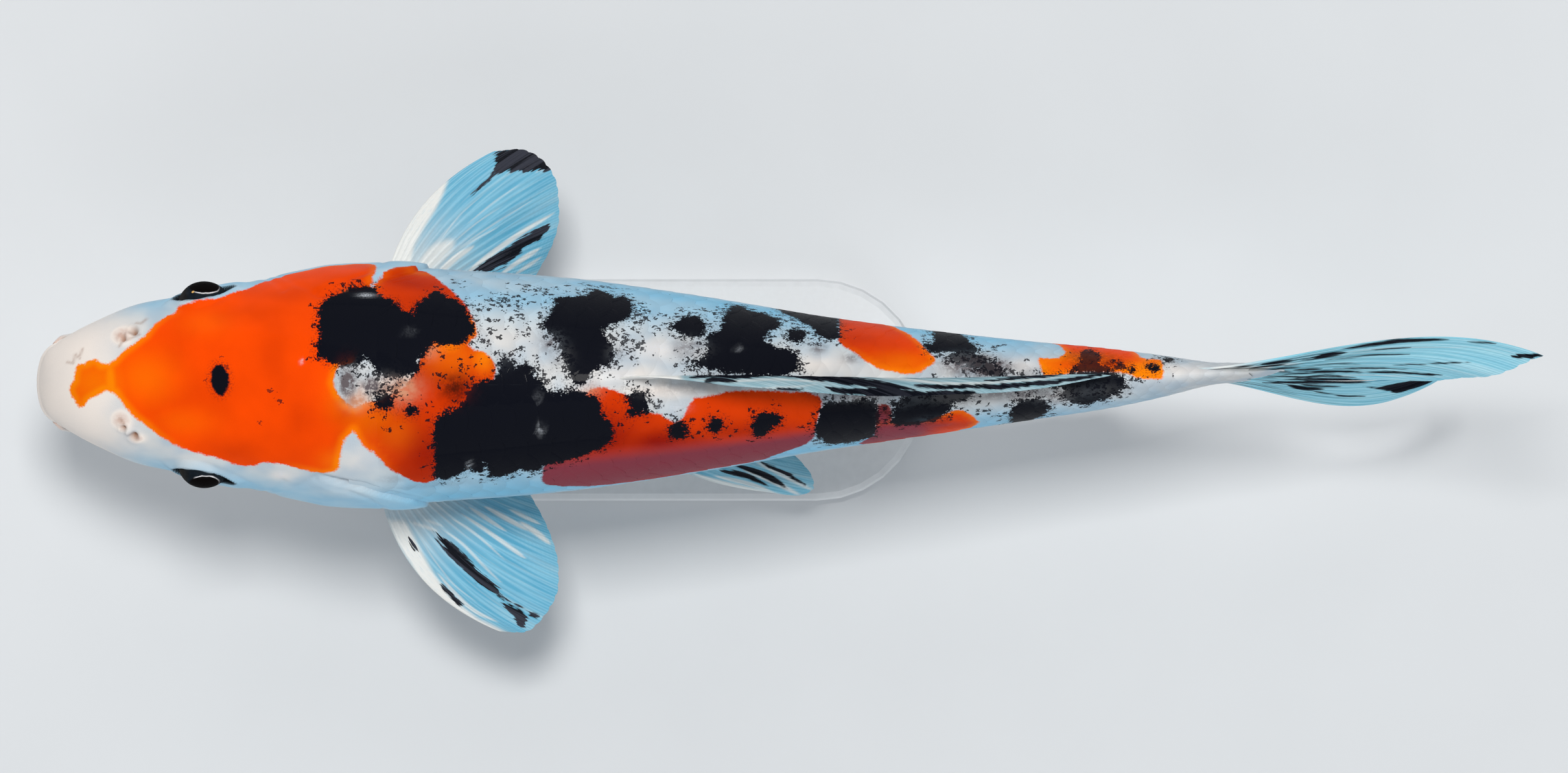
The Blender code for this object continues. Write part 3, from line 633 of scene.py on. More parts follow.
@dataclass
class Markings:
    """Works out, for places on the skin, how deep they lie in each kind of patch."""

    body: BodyForm
    step: float = 0.4
    margin: float = 10.0
    reach: float = 96.0

    def __post_init__(self) -> None:
        """Measures both kinds of patch on a lattice over the unrolled skin."""
        self._along = np.arange(0.0, self.body.end + self.step, self.step)
        self._arc = np.arange(-self.reach, self.reach + self.step, self.step)
        self._maps = {"hi": self._depths(HI_PATCHES), "sumi": self._depths(SUMI_PATCHES)}

    def unrolled(self, patch: Line) -> Array:
        """A patch's outline by distance along and distance round the skin."""
        corners = np.array(patch, float)
        found = []
        for start, end in zip(corners, np.roll(corners, -1, axis=0), strict=True):
            count = max(1, int(np.linalg.norm(end - start) / 1.5))
            for k in range(count):
                along, across = self.body.under(*(start + (end - start) * k / count))
                found.append((along, self.body.arc_of(along, across)))
        return np.array(found)

    def _depths(self, patches: tuple[Line, ...]) -> Array:
        """Depth inside the nearest patch over the whole lattice, negative outside."""
        found = np.full((len(self._along), len(self._arc)), -self.margin)
        for patch in patches:
            outline = self.unrolled(patch)
            low, high = outline.min(axis=0) - self.margin, outline.max(axis=0) + self.margin
            rows = np.flatnonzero((self._along >= low[0]) & (self._along <= high[0]))
            columns = np.flatnonzero((self._arc >= low[1]) & (self._arc <= high[1]))
            near = np.ix_(rows, columns)
            grid = np.stack(np.meshgrid(self._along[rows], self._arc[columns], indexing="ij"), axis=-1)
            depth = depth_inside(grid.reshape(-1, 2), outline).reshape(grid.shape[:2])
            found[near] = np.maximum(found[near], depth)
        return found

    def read(self, kind: str, along: Array, arc: Array) -> Array:
        """Depth inside the nearest patch of one kind at places, negative outside it."""
        return between(self._maps[kind], along / self.step, (arc - self._arc[0]) / self.step)

    def soft(self, spots: Line, along: Array, arc: Array) -> Array:
        """Strength of a soft field at places."""
        found = np.zeros(len(along))
        for x, y, reach_along, reach_across, strength in spots:
            x, y = self.body.under(x, y)
            middle = self.body.arc_of(x, y)
            away = ((along - x) / reach_along) ** 2 + ((arc - middle) / reach_across) ** 2
            found = np.maximum(found, strength * np.exp(-away))
        return found

    def fringe(self, along: Array, arc: Array) -> Array:
        """Golden edge of the red on the head and near the tail."""
        depth = self.read("hi", along, arc)
        where = 0.7 * (1 - smooth(along, 21.0, 33.0)) + 0.5 * smooth(along, 158.0, 172.0)
        where = where + 0.6 * smooth(along, 50.0, 58.0) * (1 - smooth(along, 62.0, 76.0))
        return where * (1 - smooth(depth, 0.2, 1.9))

    def flank(self, along: Array, arc: Array) -> Array:
        """Strength of the painted reflection: a cool blue over the white along the widest part of the body.
        """
        turn = np.abs(self.body.turn_at(along, arc))
        upper = turn - 0.05 * (1 - smooth(along, 60.0, 84.0))
        found = 0.65 * smooth(upper, 0.06, 0.16) + 0.35 * smooth(upper, 0.15, 0.22)
        found *= 1 - 0.6 * smooth(turn, 0.19, 0.26) - 0.4 * smooth(turn, 0.25, 0.34)
        found *= 1 - 0.5 * hump(along, 91.0, 22.0) * (arc > 0) * smooth(turn, 0.13, 0.18)
        behind = 0.5 * smooth(along, 185.0, 215.0) + 0.5 * smooth(along, 216.0, 236.0)
        return found * smooth(along, 5.0, 28.0) * (1 - behind)

    def dulled(self, along: Array, arc: Array) -> Array:
        """Strength of the purple that the red turns to, low on the left flank and in a few spots."""
        turn = -self.body.turn_at(along, arc)
        low = smooth(turn, 0.100, 0.142) * (1 - 0.55 * smooth(turn, 0.2, 0.26))
        low *= smooth(along, 96.0, 101.0) * (1 - smooth(along, 176.0, 183.0))
        return np.maximum(low, self.soft(DULL, along, arc))

    def layers(self, along: Array, arc: Array) -> dict[str, Array]:
        """Every field that the skin's and scales' finish reads, by attribute name."""
        half = np.maximum(self.body.half_round(along), 1e-6)
        flank = self.flank(along, arc)
        snout = (1 - smooth(along, 10.0, 26.0)) * (1 - 0.8 * flank)
        return {
            **{name: self.read(name, along, arc) for name in self._maps},
            **{name: self.soft(spots, along, arc) for name, spots in SOFT_FIELDS.items()},
            "unrolled": np.column_stack([along, arc, np.zeros(len(arc))]),
            "gold": self.soft(GOLD, along, arc) + self.fringe(along, arc),
            "deep": RED_DEPTH(along) + 0.42 * self.soft(DEEP_AND_SHADE, along, arc),
            "dull": self.dulled(along, arc),
            "blush": np.maximum(self.soft(BLUSH_AND_PAINTED_LIGHT, along, arc), snout),
            "flank": flank,
            "pore": arc - np.sign(arc) * half * PORE_LINE(along),
            "belly": smooth(np.abs(arc) / half, 0.72, 0.95),
        }


# Side view of the head's lines: along, up.
GILL_COVER = (
    (57.5, 15.3), (66.5, 14.8), (72.3, 12), (76.4, 7.8), (78.6, 2), (78.9, -4.5), (76.8, -10.8), (72, -16),
    (65.5, -20.3), (57, -23.4), (50, -22.8), (46.3, -17.5), (46.6, -9), (49, 1.5), (52.8, 10),
)
GILL_PLATE_EDGE = (
    (57, 14.6), (63.5, 13.8), (67.4, 11.2), (69.4, 6), (70.2, -1), (69, -8.5), (65, -14.5), (58.5, -18.2),
)
CHEEK_LINE = (
    (50.5, 11), (47.2, 3), (45.4, -6), (45.8, -13.5), (42, -19), (34, -21.2), (26, -20.6),
)
UNDER_EYE_LINE = ((26.8, 2), (27.6, -4), (31.5, -7.6), (38, -8), (43, -4), (45.5, 3))
LOWER_GILL_LINE = ((48, -17), (55.5, -19.4), (62.5, -17.2), (68, -11.5))
THROAT_FOLDS = (
    ((42, -22.6), (52, -25.6), (62, -25.2), (70, -21)), ((38, -23.4), (50, -26.6), (61, -27)),
)
MOUTH_SLIT = ((-1.5, -8.8), (0.6, -9), (3.4, -10), (6.4, -11.2), (9, -12.6))
UPPER_LIP_FOLD = ((-1.5, -6.6), (1.2, -6.7), (4, -7.8), (7, -9.6), (9.8, -12.4))
LOWER_LIP_FOLD = ((-1.5, -12.4), (1.6, -12.6), (5, -13.8), (8.4, -14.4))
NOSTRILS = ((18.3, 8.9, 0.5), (20.4, 10.5, 0.8))  # along, across, radius
# Fine brown lines on the snout, in plan.
SNOUT_LINES = (
    ((6.4, 4.2), (7.6, 4)), ((7.7, 4.4), (8, 5.8), (8.9, 5)), ((9, 5.6), (9.4, 6.9)),
    ((18.2, 8.6), (19.6, 9.3), (21, 9.9)), ((20.2, 12.2), (21.2, 12.2), (22.3, 13.1)),
    ((17, -7), (18.2, -8.6)), ((16.8, 7.5), (17.4, 8.2)),
)


@dataclass(frozen=True)
class Ridge:
    """A rounded ridge beside or along a line, or a groove where its height is negative."""

    height: float
    width: float
    beside: float = 0.0

    def __call__(self, distance: Array) -> Array:
        """Height at a distance from the line."""
        return self.height * hump(distance, self.beside, self.width)


GROOVES = (
    (GILL_PLATE_EDGE, Ridge(-0.32, 0.7)), (CHEEK_LINE, Ridge(-0.32, 0.9)),
    (UNDER_EYE_LINE, Ridge(-0.14, 0.7)), (LOWER_GILL_LINE, Ridge(-0.2, 0.6)),
    *((fold, Ridge(-0.4, 0.6)) for fold in THROAT_FOLDS),
)


@dataclass
class HeadRelief:
    """The lips, nostrils, orbits, gill covers and folds, as heights over the plain body."""

    body: BodyForm
    lips: Ridge = Ridge(0.5, 0.8, 1.35)
    mouth_gap: Ridge = Ridge(-1.3, 0.42)
    upper_fold: Ridge = Ridge(-0.4, 0.5)
    lower_fold: Ridge = Ridge(-0.4, 0.55)
    gill_rise: float = 0.75
    gill_gap: Ridge = Ridge(-0.9, 0.6, -0.6)
    gill_front: Ridge = Ridge(-0.25, 0.7)
    nostril_flap: Ridge = Ridge(0.75, 0.5)
    flap_share: float = 0.55  # where the flap is on the way between the nostrils
    orbit_depth: float = 3.2
    lid_edge: Ridge = Ridge(0.30, 0.45, -0.55)
    lid_crease: Ridge = Ridge(-0.2, 0.8, -2.4)
    # the almond between the lids: half its length, its reach above and below, and its slant
    eye_half: float = 6.0
    eye_above: float = 2.75
    eye_below: float = 4.0
    eye_slant: float = 0.06

    def heights(self, points: Array) -> Array:
        """Height of all the head's relief at places on the plain body, its midline straightened."""
        flat = points[:, [0, 2]]
        return self.mouth(points, flat) + self.gills(flat) + self.nostrils(points) + self.orbits(points)

    def mouth(self, points: Array, flat: Array) -> Array:
        """Lips that bulge on both sides of a closed slit."""
        fade = 1 - smooth(points[:, 0], 8.0, 11.0)
        slit = polyline_distance(flat, MOUTH_SLIT)
        found = self.lips(slit) + self.mouth_gap(slit)
        side = smooth(points[:, 0], 2.0, 5.0)
        found += side * self.upper_fold(polyline_distance(flat, UPPER_LIP_FOLD))
        found += self.lower_fold(polyline_distance(flat, LOWER_LIP_FOLD))
        return found * fade

    def gills(self, flat: Array) -> Array:
        """Gill cover with a free rear edge, cheek grooves and throat folds."""
        depth = depth_inside(flat, GILL_COVER)
        rear = smooth(flat[:, 0], 55.0, 61.0)
        found = rear * self.gill_rise * smooth(depth, -0.1, 0.7) * (1 - smooth(depth, 2.0, 12.0))
        found += rear * self.gill_gap(depth) + (1 - rear) * self.gill_front(depth)
        for line, groove in GROOVES:
            found += groove(polyline_distance(flat, line))
        return found

    def nostrils(self, points: Array) -> Array:
        """Two pits a side with a flap of skin between them."""
        found = np.zeros(len(points))
        top = points[:, 2] > -2.0
        out = np.abs(points[:, 1])
        for along, across, radius in NOSTRILS:
            away = np.hypot(points[:, 0] - along, out - across)
            rim, pit = Ridge(0.28, 0.45, radius * 1.5), Ridge(-1.0, radius)
            found += top * (rim(away) + pit(away))
        (x0, y0, _), (x1, y1, _) = NOSTRILS
        share = self.flap_share
        middle = np.hypot(points[:, 0] - x0 - (x1 - x0) * share, out - y0 - (y1 - y0) * share)
        return found + top * self.nostril_flap(middle)

    def orbits(self, points: Array) -> Array:
        """Almond openings that dip round each eye, with thin soft lids."""
        depth = self.eye_opening(points)
        hollow = self.orbit_depth * smooth(depth, -0.1, 0.85)
        return self.lid_edge(depth) + self.lid_crease(depth) - hollow

    def eye_opening(self, points: Array) -> Array:
        """Distance inside the almond between an eye's lids, negative outside it."""
        x, y, z = self.body.eye
        out = np.array([0.0, math.cos(self.body.lid_tilt), math.sin(self.body.lid_tilt)])
        up = np.array([0.0, -out[2], out[1]])
        from_eye = np.column_stack([points[:, 0] - x, np.abs(points[:, 1]) - y, points[:, 2] - z])
        along, rise, ahead = from_eye[:, 0], from_eye @ up, from_eye @ out
        rise = rise - self.eye_slant * along
        tall = np.where(rise > 0, self.eye_above, self.eye_below)
        radius = (self.eye_half**2 + tall**2) / (2 * tall)
        depth = radius - np.hypot(along, np.abs(rise) + radius - tall)
        return np.where(ahead > 0, depth, FAR_OUT)


@dataclass
class Lids:
    """Thin skin that lies over each eyeball as far as the edge of the opening."""

    relief: HeadRelief
    thickness: float = 0.3
    softness: float = 0.35
    reach: float = 9.0

    def over_eyes(self, points: Array, straight: Array) -> Array:
        """Lifts points of the skin that would lie inside an eyeball.

        Args:
            points: The skin's points, in body millimetres.
            straight: The same points before the relief, with the midline straightened.

        Returns:
            The points, moved away from the eyes where needed.
        """
        body = self.relief.body
        x, y, z = body.eye
        centre = np.zeros_like(points) + (x, 0.0, z)
        centre[:, 1] = np.sign(straight[:, 1]) * y + float(body.bend(x))
        away = points - centre
        distance = np.maximum(np.linalg.norm(away, axis=1), 1e-6)
        short = body.eye_radius + self.thickness - distance
        lift = self.softness * np.logaddexp(0.0, short / self.softness)
        lift *= 1 - smooth(self.relief.eye_opening(straight), -0.5, 0.05)
        return points + away * (lift * (distance < self.reach) / distance)[:, None]


# Where the scales begin: at the gill cover on the sides, at the nape above and the throat below.
NAPE = 66.5
THROAT = 67.0
NAPE_BAND = (13.5, 16.5)
THROAT_BAND = (20.0, 24.0)


def coated(along: Array, up: Array) -> Array:
    """How far behind the edge of the bare head a place lies, negative on the head."""
    flat = np.column_stack([along, up])
    behind_gill = np.where(along < 58.0, -6.0, -depth_inside(flat, GILL_COVER))
    top, under = smooth(up, *NAPE_BAND), smooth(-up, *THROAT_BAND)
    blended = top * (along - NAPE) + under * (along - THROAT)
    blended = blended + (1 - top) * (1 - under) * np.minimum(behind_gill, 4.0)
    return np.where((top > 0) | (under > 0), blended, behind_gill)


def mesh_piece(
    name: str,
    points: Array,
    faces: list[Array],
    values: dict[str, Array],
    material: bpy.types.Material,
    unwrap: list[Array] | None = None,
    sharp: float = 180.0,
) -> bpy.types.Object:
    """Makes a mesh object from arrays.

    Args:
        name: The piece's name.
        points: Corners in body millimetres, one row each.
        faces: Arrays of corner numbers, with one row for each face of that many sides.
        values: A number, or a row of three, for each corner, by attribute name.
        material: The piece's finish.
        unwrap: For each array of faces, the place on the unwrap of each of its corners.
        sharp: Edges that turn by more than this angle in degrees stay sharp.

    Returns:
        The object, in the scene.
    """
    mesh = bpy.data.meshes.new(name)
    mesh.vertices.add(len(points))
    mesh.vertices.foreach_set("co", world(points).astype(np.float32).ravel())
    corners = np.concatenate([block.ravel() for block in faces])
    counts = np.concatenate([np.full(len(block), block.shape[1]) for block in faces])
    mesh.loops.add(len(corners))
    mesh.loops.foreach_set("vertex_index", corners.astype(np.int32))
    mesh.polygons.add(len(counts))
    starts = np.concatenate([[0], np.cumsum(counts)[:-1]])
    mesh.polygons.foreach_set("loop_start", starts.astype(np.int32))
    mesh.polygons.foreach_set("use_smooth", np.ones(len(counts), bool))
    mesh.update(calc_edges=True)
    for key, value in values.items():
        value = np.asarray(value, np.float32)
        kind, part = ("FLOAT_VECTOR", "vector") if value.ndim == 2 else ("FLOAT", "value")
        mesh.attributes.new(key, kind, "POINT").data.foreach_set(part, value.ravel())
    if unwrap is not None:
        layer = mesh.uv_layers.new(name="OFBake")
        places = np.concatenate([block.reshape(-1, 2) for block in unwrap])
        layer.data.foreach_set("uv", places.astype(np.float32).ravel())
    mesh.set_sharp_from_angle(angle=math.radians(sharp))
    mesh.materials.append(material)
    made = bpy.data.objects.new(name, mesh)
    bpy.context.scene.collection.objects.link(made)
    return made


def quad_grid(rows: int, columns: int, first: int = 0, wrap: bool = False) -> Array:
    """Faces of a grid of corners numbered row by row.

    Args:
        rows: Corners in the first direction.
        columns: Corners in the second direction.
        first: The number of the grid's first corner.
        wrap: True if the last column joins the first.

    Returns:
        One row of four corner numbers for each face.
    """
    i, j = np.meshgrid(np.arange(rows - 1), np.arange(columns if wrap else columns - 1), indexing="ij")
    here, beside = i * columns + j, i * columns + (j + 1) % columns
    return first + np.stack([here, beside, beside + columns, here + columns], axis=-1).reshape(-1, 4)


def fan(tip: int, first: int, columns: int) -> Array:
    """Triangles from one corner to a ring of corners, numbered from the first."""
    number = np.arange(columns)
    return np.column_stack([np.full(columns, tip), first + (number + 1) % columns, first + number])


def sheet_faces(rows: int, columns: int) -> Array:
    """Faces of a closed sheet: a grid of corners, the same again under it, and the rim between.

    Args:
        rows: Corners in the first direction.
        columns: Corners in the second direction.

    Returns:
        One row of four corner numbers for each face.
    """
    total = rows * columns
    top = quad_grid(rows, columns)
    rim = np.concatenate([
        np.arange(columns), np.arange(1, rows) * columns + columns - 1,
        (rows - 1) * columns + np.arange(columns - 2, -1, -1), np.arange(rows - 2, 0, -1) * columns,
    ])
    after = np.roll(rim, -1)
    return np.concatenate([
        top, top[:, ::-1] + total, np.column_stack([after, rim, rim + total, after + total]),
    ])


class Graph:
    """Adds shader nodes to one tree and joins them."""

    def __init__(self, tree: bpy.types.NodeTree) -> None:
        """Keeps the tree that nodes go into."""
        self.tree = tree

    def plug(self, socket: Socket, value: Socket | float | tuple) -> None:
        """Joins a socket to a socket, or sets its value."""
        if isinstance(value, Socket):
            self.tree.links.new(value, socket)
        else:
            socket.default_value = value

    def add(self, kind: str, inputs: dict | None = None, **settings: object) -> bpy.types.Node:
        """Adds a node.

        Args:
            kind: The node's type, without its ShaderNode prefix.
            inputs: A value or socket for each named or numbered input.
            **settings: The node's own properties.

        Returns:
            The node.
        """
        node = self.tree.nodes.new("ShaderNode" + kind)
        for key, value in settings.items():
            setattr(node, key, value)
        self.wire(node, inputs or {})
        return node

    def wire(self, node: bpy.types.Node, inputs: dict) -> None:
        """Gives a node's named or numbered inputs their values or sockets."""
        for key, value in inputs.items():
            self.plug(node.inputs[key], value)

    def math(self, operation: str, *values: Socket | float) -> Socket:
        """One arithmetic step."""
        return self.add("Math", dict(enumerate(values)), operation=operation).outputs[0]

    # The arithmetic steps in use, by the name of what they do; scaled takes a value, factor and offset.
    times = partialmethod(math, "MULTIPLY")
    plus = partialmethod(math, "ADD")
    minus = partialmethod(math, "SUBTRACT")
    most = partialmethod(math, "MAXIMUM")
    scaled = partialmethod(math, "MULTIPLY_ADD")

    def spread(self, noise: Socket, width: float) -> Socket:
        """Noise about one half, brought to a width about 0."""
        return self.scaled(noise, width, -width / 2)

    def clamp(self, value: Socket) -> Socket:
        """The value held between 0 and 1."""
        return self.add("Clamp", {0: value}).outputs[0]

    def step(self, value: Socket, low: float, high: float, to: tuple[float, float] = (0.0, 1.0)) -> Socket:
        """A soft step over a range of the value."""
        inputs = {"Value": value, "From Min": low, "From Max": high, "To Min": to[0], "To Max": to[1]}
        return self.add("MapRange", inputs, interpolation_type="SMOOTHSTEP").outputs[0]

    def field(self, name: str) -> Socket:
        """A number that the mesh carries."""
        return self.add("Attribute", attribute_name=name).outputs["Fac"]

    def place(self, name: str) -> Socket:
        """A place that the mesh carries."""
        return self.add("Attribute", attribute_name=name).outputs["Vector"]

    def on_object(self) -> Socket:
        """The place on the object itself."""
        return self.add("TexCoord").outputs["Object"]

    def noise(self, where: Socket, scale: float, detail: float) -> Socket:
        """Soft noise about one half."""
        return self.add("TexNoise", {"Vector": where, "Scale": scale, "Detail": detail}).outputs["Fac"]

    def mix(self, share: Socket | float, first: Socket | tuple, second: Socket | tuple) -> Socket:
        """One colour over another."""
        node = self.add("Mix", data_type="RGBA")
        for index, value in ((0, share), (6, first), (7, second)):
            if isinstance(value, tuple) and len(value) == 3:
                value = (*value, 1.0)
            self.plug(node.inputs[index], value)
        return node.outputs[2]

    def bump(self, height: Socket, distance: float, strength: float) -> Socket:
        """A normal from a height."""
        inputs = {"Height": height, "Distance": distance, "Strength": strength}
        return self.add("Bump", inputs).outputs[0]


def group_graph(
    name: str, inputs: dict[str, float], outputs: dict[str, str]
) -> tuple[Graph, dict[str, Socket], bpy.types.Node]:
    """Starts a shader node group.

    Args:
        name: The group's name.
        inputs: The default of each input number.
        outputs: The socket type of each output.

    Returns:
        The graph of the group, its inputs' sockets by name, and its output node.
    """
    tree = bpy.data.node_groups.new(name, "ShaderNodeTree")
    for key, default in inputs.items():
        tree.interface.new_socket(key, in_out="INPUT", socket_type="NodeSocketFloat").default_value = default
    for key, kind in outputs.items():
        tree.interface.new_socket(key, in_out="OUTPUT", socket_type=kind)
    entry = tree.nodes.new("NodeGroupInput")
    return Graph(tree), {key: entry.outputs[key] for key in inputs}, tree.nodes.new("NodeGroupOutput")


def new_material(name: str, settings: dict) -> tuple[bpy.types.Material, Graph, bpy.types.Node]:
    """Starts a material.

    Args:
        name: The material's name.
        settings: Plain values for the surface shader's inputs.

    Returns:
        The material, its graph and its surface shader.
    """
    material = bpy.data.materials.new(name)
    material.use_nodes = True
    shader = material.node_tree.nodes["Principled BSDF"]
    for key, value in settings.items():
        shader.inputs[key].default_value = value
    return material, Graph(material.node_tree), shader


def wet(rough: float, specular: float, coat: float, coat_rough: float, ior: float = WATER_IOR) -> dict:
    """The surface shader's plain values for something wet."""
    return {
        "Roughness": rough, "Specular IOR Level": specular, "Coat Weight": coat,
        "Coat Roughness": coat_rough, "Coat IOR": ior,
    }


@dataclass(frozen=True)
class KoiColours:
    """The colours of a three-coloured koi."""

    white: Colour = (0.45, 0.53, 0.60)
    warm_white: Colour = (0.63, 0.64, 0.64)
    # painted reflection: the cool blue over the white of the flanks
    flank: Colour = (0.20, 0.55, 0.79)
    orange: Colour = (0.95, 0.070, 0.0006)
    # the dark red, also the colour of the painted shade on the left side
    deep: Colour = (0.26, 0.004, 0.0006)
    gold: Colour = (0.95, 0.225, 0.001)
    dull: Colour = (0.235, 0.038, 0.058)
    black: Colour = (0.0042, 0.0050, 0.0090)
    haze: Colour = (0.125, 0.105, 0.112)
    burnt: Colour = (0.050, 0.007, 0.002)
    # the blush's warm cream, also the colour of its painted light
    blush: Colour = (0.89, 0.80, 0.73)
    pink: Colour = (0.64, 0.44, 0.36)
    peach: Colour = (0.58, 0.27, 0.16)
    # painted glint: the colour of the small highlights
    pearl: Colour = (0.66, 0.70, 0.76)


def build_markings_group(colours: KoiColours) -> None:
    """Makes the group that colours skin and scales alike from the fields on the mesh."""
    graph, inputs, output = group_graph(
        "koi_markings", {"Rim": 0.0}, {"Color": "NodeSocketColor", "Height": "NodeSocketFloat"}
    )
    where = graph.place("unrolled")
    coarse, middle, fine, grain = (
        graph.noise(where, scale, detail) for scale, detail in ((0.11, 2), (0.75, 3), (2.6, 2), (5.0, 1))
    )

    def ragged(by_middle: float, by_fine: float) -> Socket:
        """How far the noise shifts a patch's edge."""
        return graph.plus(graph.spread(middle, by_middle), graph.spread(fine, by_fine))

    # Patches' edges, plainer on the bare head.
    scaly = graph.step(graph.add("SeparateXYZ", {0: where}).outputs[0], 44.0, 56.0, (0.3, 1.0))
    is_red = graph.step(graph.plus(graph.field("hi"), ragged(1.0, 0.8)), -0.3, 0.3)
    sumi = graph.plus(graph.plus(graph.field("sumi"), graph.times(ragged(3.0, 2.4), scaly)), 0.35)
    # White skin, with a painted reflection of cool blue along the flanks, warm on the belly, with blushes,
    # pink pads and two spots of painted light.
    white = graph.mix(graph.step(coarse, 0.35, 0.65), colours.white, colours.warm_white)
    white = graph.mix(graph.field("flank"), white, colours.flank)
    white = graph.mix(graph.field("belly"), white, colours.warm_white)
    blush = graph.field("blush")
    white = graph.mix(graph.times(graph.clamp(blush), 0.9), white, colours.blush)
    pad = graph.times(graph.minus(blush, 1.0), graph.step(middle, 0.3, 0.6, (0.5, 1.0)))
    white = graph.mix(graph.clamp(pad), white, colours.pink)
    # Red and orange, darker where the red is deep and where shade is painted on the left side, and where
    # they thin to peach.
    depth = graph.plus(graph.field("deep"), graph.spread(coarse, 0.36))
    red = graph.mix(graph.clamp(depth), colours.orange, colours.deep)
    for name, colour in (("gold", colours.gold), ("dull", colours.dull)):
        red = graph.mix(graph.clamp(graph.field(name)), red, colour)
    peach = graph.clamp(graph.times(graph.field("peach"), graph.step(middle, 0.3, 0.6, (0.7, 1.2))))
    colour = graph.mix(peach, graph.mix(is_red, white, red), colours.peach)
    # Grey haze over white, burnt over red.
    patchy = graph.step(graph.plus(middle, graph.times(fine, 0.5)), 0.5, 0.85, (0.25, 1.0))
    haze = graph.clamp(graph.times(graph.field("haze"), patchy))
    colour = graph.mix(haze, colour, graph.mix(is_red, colours.haze, colours.burnt))
    # Small black flecks, in cells that are pushed about a little.
    drift = graph.add("TexNoise", {"Vector": where, "Scale": 1.5, "Detail": 0.0}).outputs["Color"]
    drift = graph.add("VectorMath", {0: drift, 1: (1.2, 1.2, 1.2), 2: where}, operation="MULTIPLY_ADD")
    grid = {"Vector": drift.outputs[0], "Scale": 0.92, "Randomness": 1.0}
    cells = graph.add("TexVoronoi", grid, distance="CHEBYCHEV")
    pick = graph.add("SeparateColor", {0: cells.outputs["Color"]}).outputs[0]
    near = graph.times(graph.step(sumi, -3.2, -0.4), graph.step(is_red, 0.0, 1.0, (0.55, 0.2)))
    near = graph.times(near, graph.scaled(peach, -0.85, 1.0))
    dense = graph.times(graph.most(graph.times(graph.field("speckle"), 1.1), near), scaly)
    size = graph.minus(graph.scaled(fine, 0.9, -0.01), cells.outputs["Distance"])
    fleck = graph.times(graph.math("LESS_THAN", pick, dense), graph.step(size, 0.0, 0.06))
    colour = graph.mix(graph.times(fleck, graph.scaled(scaly, 0.5, 0.42)), colour, colours.black)
    # Black patches with a soft halo, thinner under haze, and the scales' grey rims over white.
    halo = graph.times(graph.step(sumi, -1.6, 0.3), graph.step(fine, 0.45, 0.62))
    thin = graph.minus(1.0, graph.times(haze, 0.3))
    black = graph.most(graph.times(graph.step(sumi, -0.25, 0.35), thin), graph.times(halo, 0.45))
    rim = graph.times(inputs["Rim"], graph.minus(1.0, is_red))
    colour = graph.mix(graph.times(rim, 0.12), colour, colours.haze)
    colour = graph.mix(black, colour, colours.black)
    # Painted glints: small highlights over every colour.
    pearl = graph.times(graph.field("pearl"), graph.step(fine, 0.35, 0.6, (0.4, 1.0)))
    height = graph.plus(graph.times(fine, 0.5), graph.times(grain, 0.5))
    graph.wire(output, {"Color": graph.mix(pearl, colour, colours.pearl), "Height": height})


@dataclass(frozen=True)
class KoiFinish:
    """A wet surface with the koi's markings, as skin and scales share it."""

    name: str
    rougher: float
    relief: float
    strength: float
    roughness: float = 0.5

    def rim(self, graph: Graph) -> Socket | float:
        """How strongly the edge of a scale shows."""
        return 0.0

    def dress(self, graph: Graph, colour: Socket, height: Socket) -> tuple[Socket, Socket]:
        """Adds to the markings' colour and height what the surface has of its own."""
        return colour, height

    def build(self) -> bpy.types.Material:
        """Makes the material."""
        material, graph, shader = new_material(self.name, wet(self.roughness, 0.015, 0.045, 0.07))
        group = bpy.data.node_groups["koi_markings"]
        marks = graph.add("Group", node_tree=group)
        graph.wire(marks, {"Rim": self.rim(graph)})
        height = marks.outputs["Height"]
        colour, relief = self.dress(graph, marks.outputs["Color"], height)
        rough = (self.roughness - 0.05, self.roughness + self.rougher)
        graph.wire(shader, {
            "Base Color": colour,
            "Roughness": graph.step(height, 0.3, 0.7, rough),
            "Normal": graph.bump(relief, self.relief, self.strength),
        })
        return material


@dataclass(frozen=True)
class SkinFinish(KoiFinish):
    """Smooth skin of the head, and of the body under the scales, with painted shade in the eyes' sockets and
    in the pits.
    """

    name: str = "koi_skin"
    rougher: float = 0.07
    relief: float = 0.00012
    strength: float = 0.5
    # Painted shade: near black in the eyes' sockets, and brown in the nostrils, the mouth's slit and the gap
    # under the gill cover; the brown also draws the snout's fine lines.
    socket: Colour = (0.012, 0.016, 0.020)
    pit: Colour = (0.26, 0.11, 0.05)

    def dress(self, graph: Graph, colour: Socket, height: Socket) -> tuple[Socket, Socket]:
        """Paints shade into the eyes' sockets, the nostrils, the mouth's slit and the gill cover's gap, and
        darkens the snout's fine lines.
        """
        colour = graph.mix(graph.field("socket"), colour, self.socket)
        return graph.mix(graph.field("pit"), colour, self.pit), height


@dataclass(frozen=True)
class ScaleFinish(KoiFinish):
    """Round scales with growth rings, a soft edge and, in one row a side, a pore."""

    name: str = "koi_scales"
    rougher: float = 0.08
    relief: float = FINE_RELIEF
    strength: float = 0.4
    pore: Colour = (0.10, 0.11, 0.12)
    rings: float = 46.0

    def rim(self, graph: Graph) -> Socket | float:
        """The edge shows near the end of each plate."""
        return graph.step(graph.field("down"), 0.55, 1.0)

    def dress(self, graph: Graph, colour: Socket, height: Socket) -> tuple[Socket, Socket]:
        """Adds the pores' short tubes and the growth rings."""
        down = graph.field("down")
        tube = graph.step(graph.math("ABSOLUTE", graph.field("pore")), 0.46, 0.16)
        tube = graph.times(tube, graph.step(down, 0.60, 0.74))
        tube = graph.times(tube, graph.step(down, 0.95, 0.82))
        rings = graph.math("SINE", graph.times(graph.field("focus"), self.rings))
        return graph.mix(graph.times(tube, 0.34), colour, self.pore), graph.scaled(rings, 0.10, height)


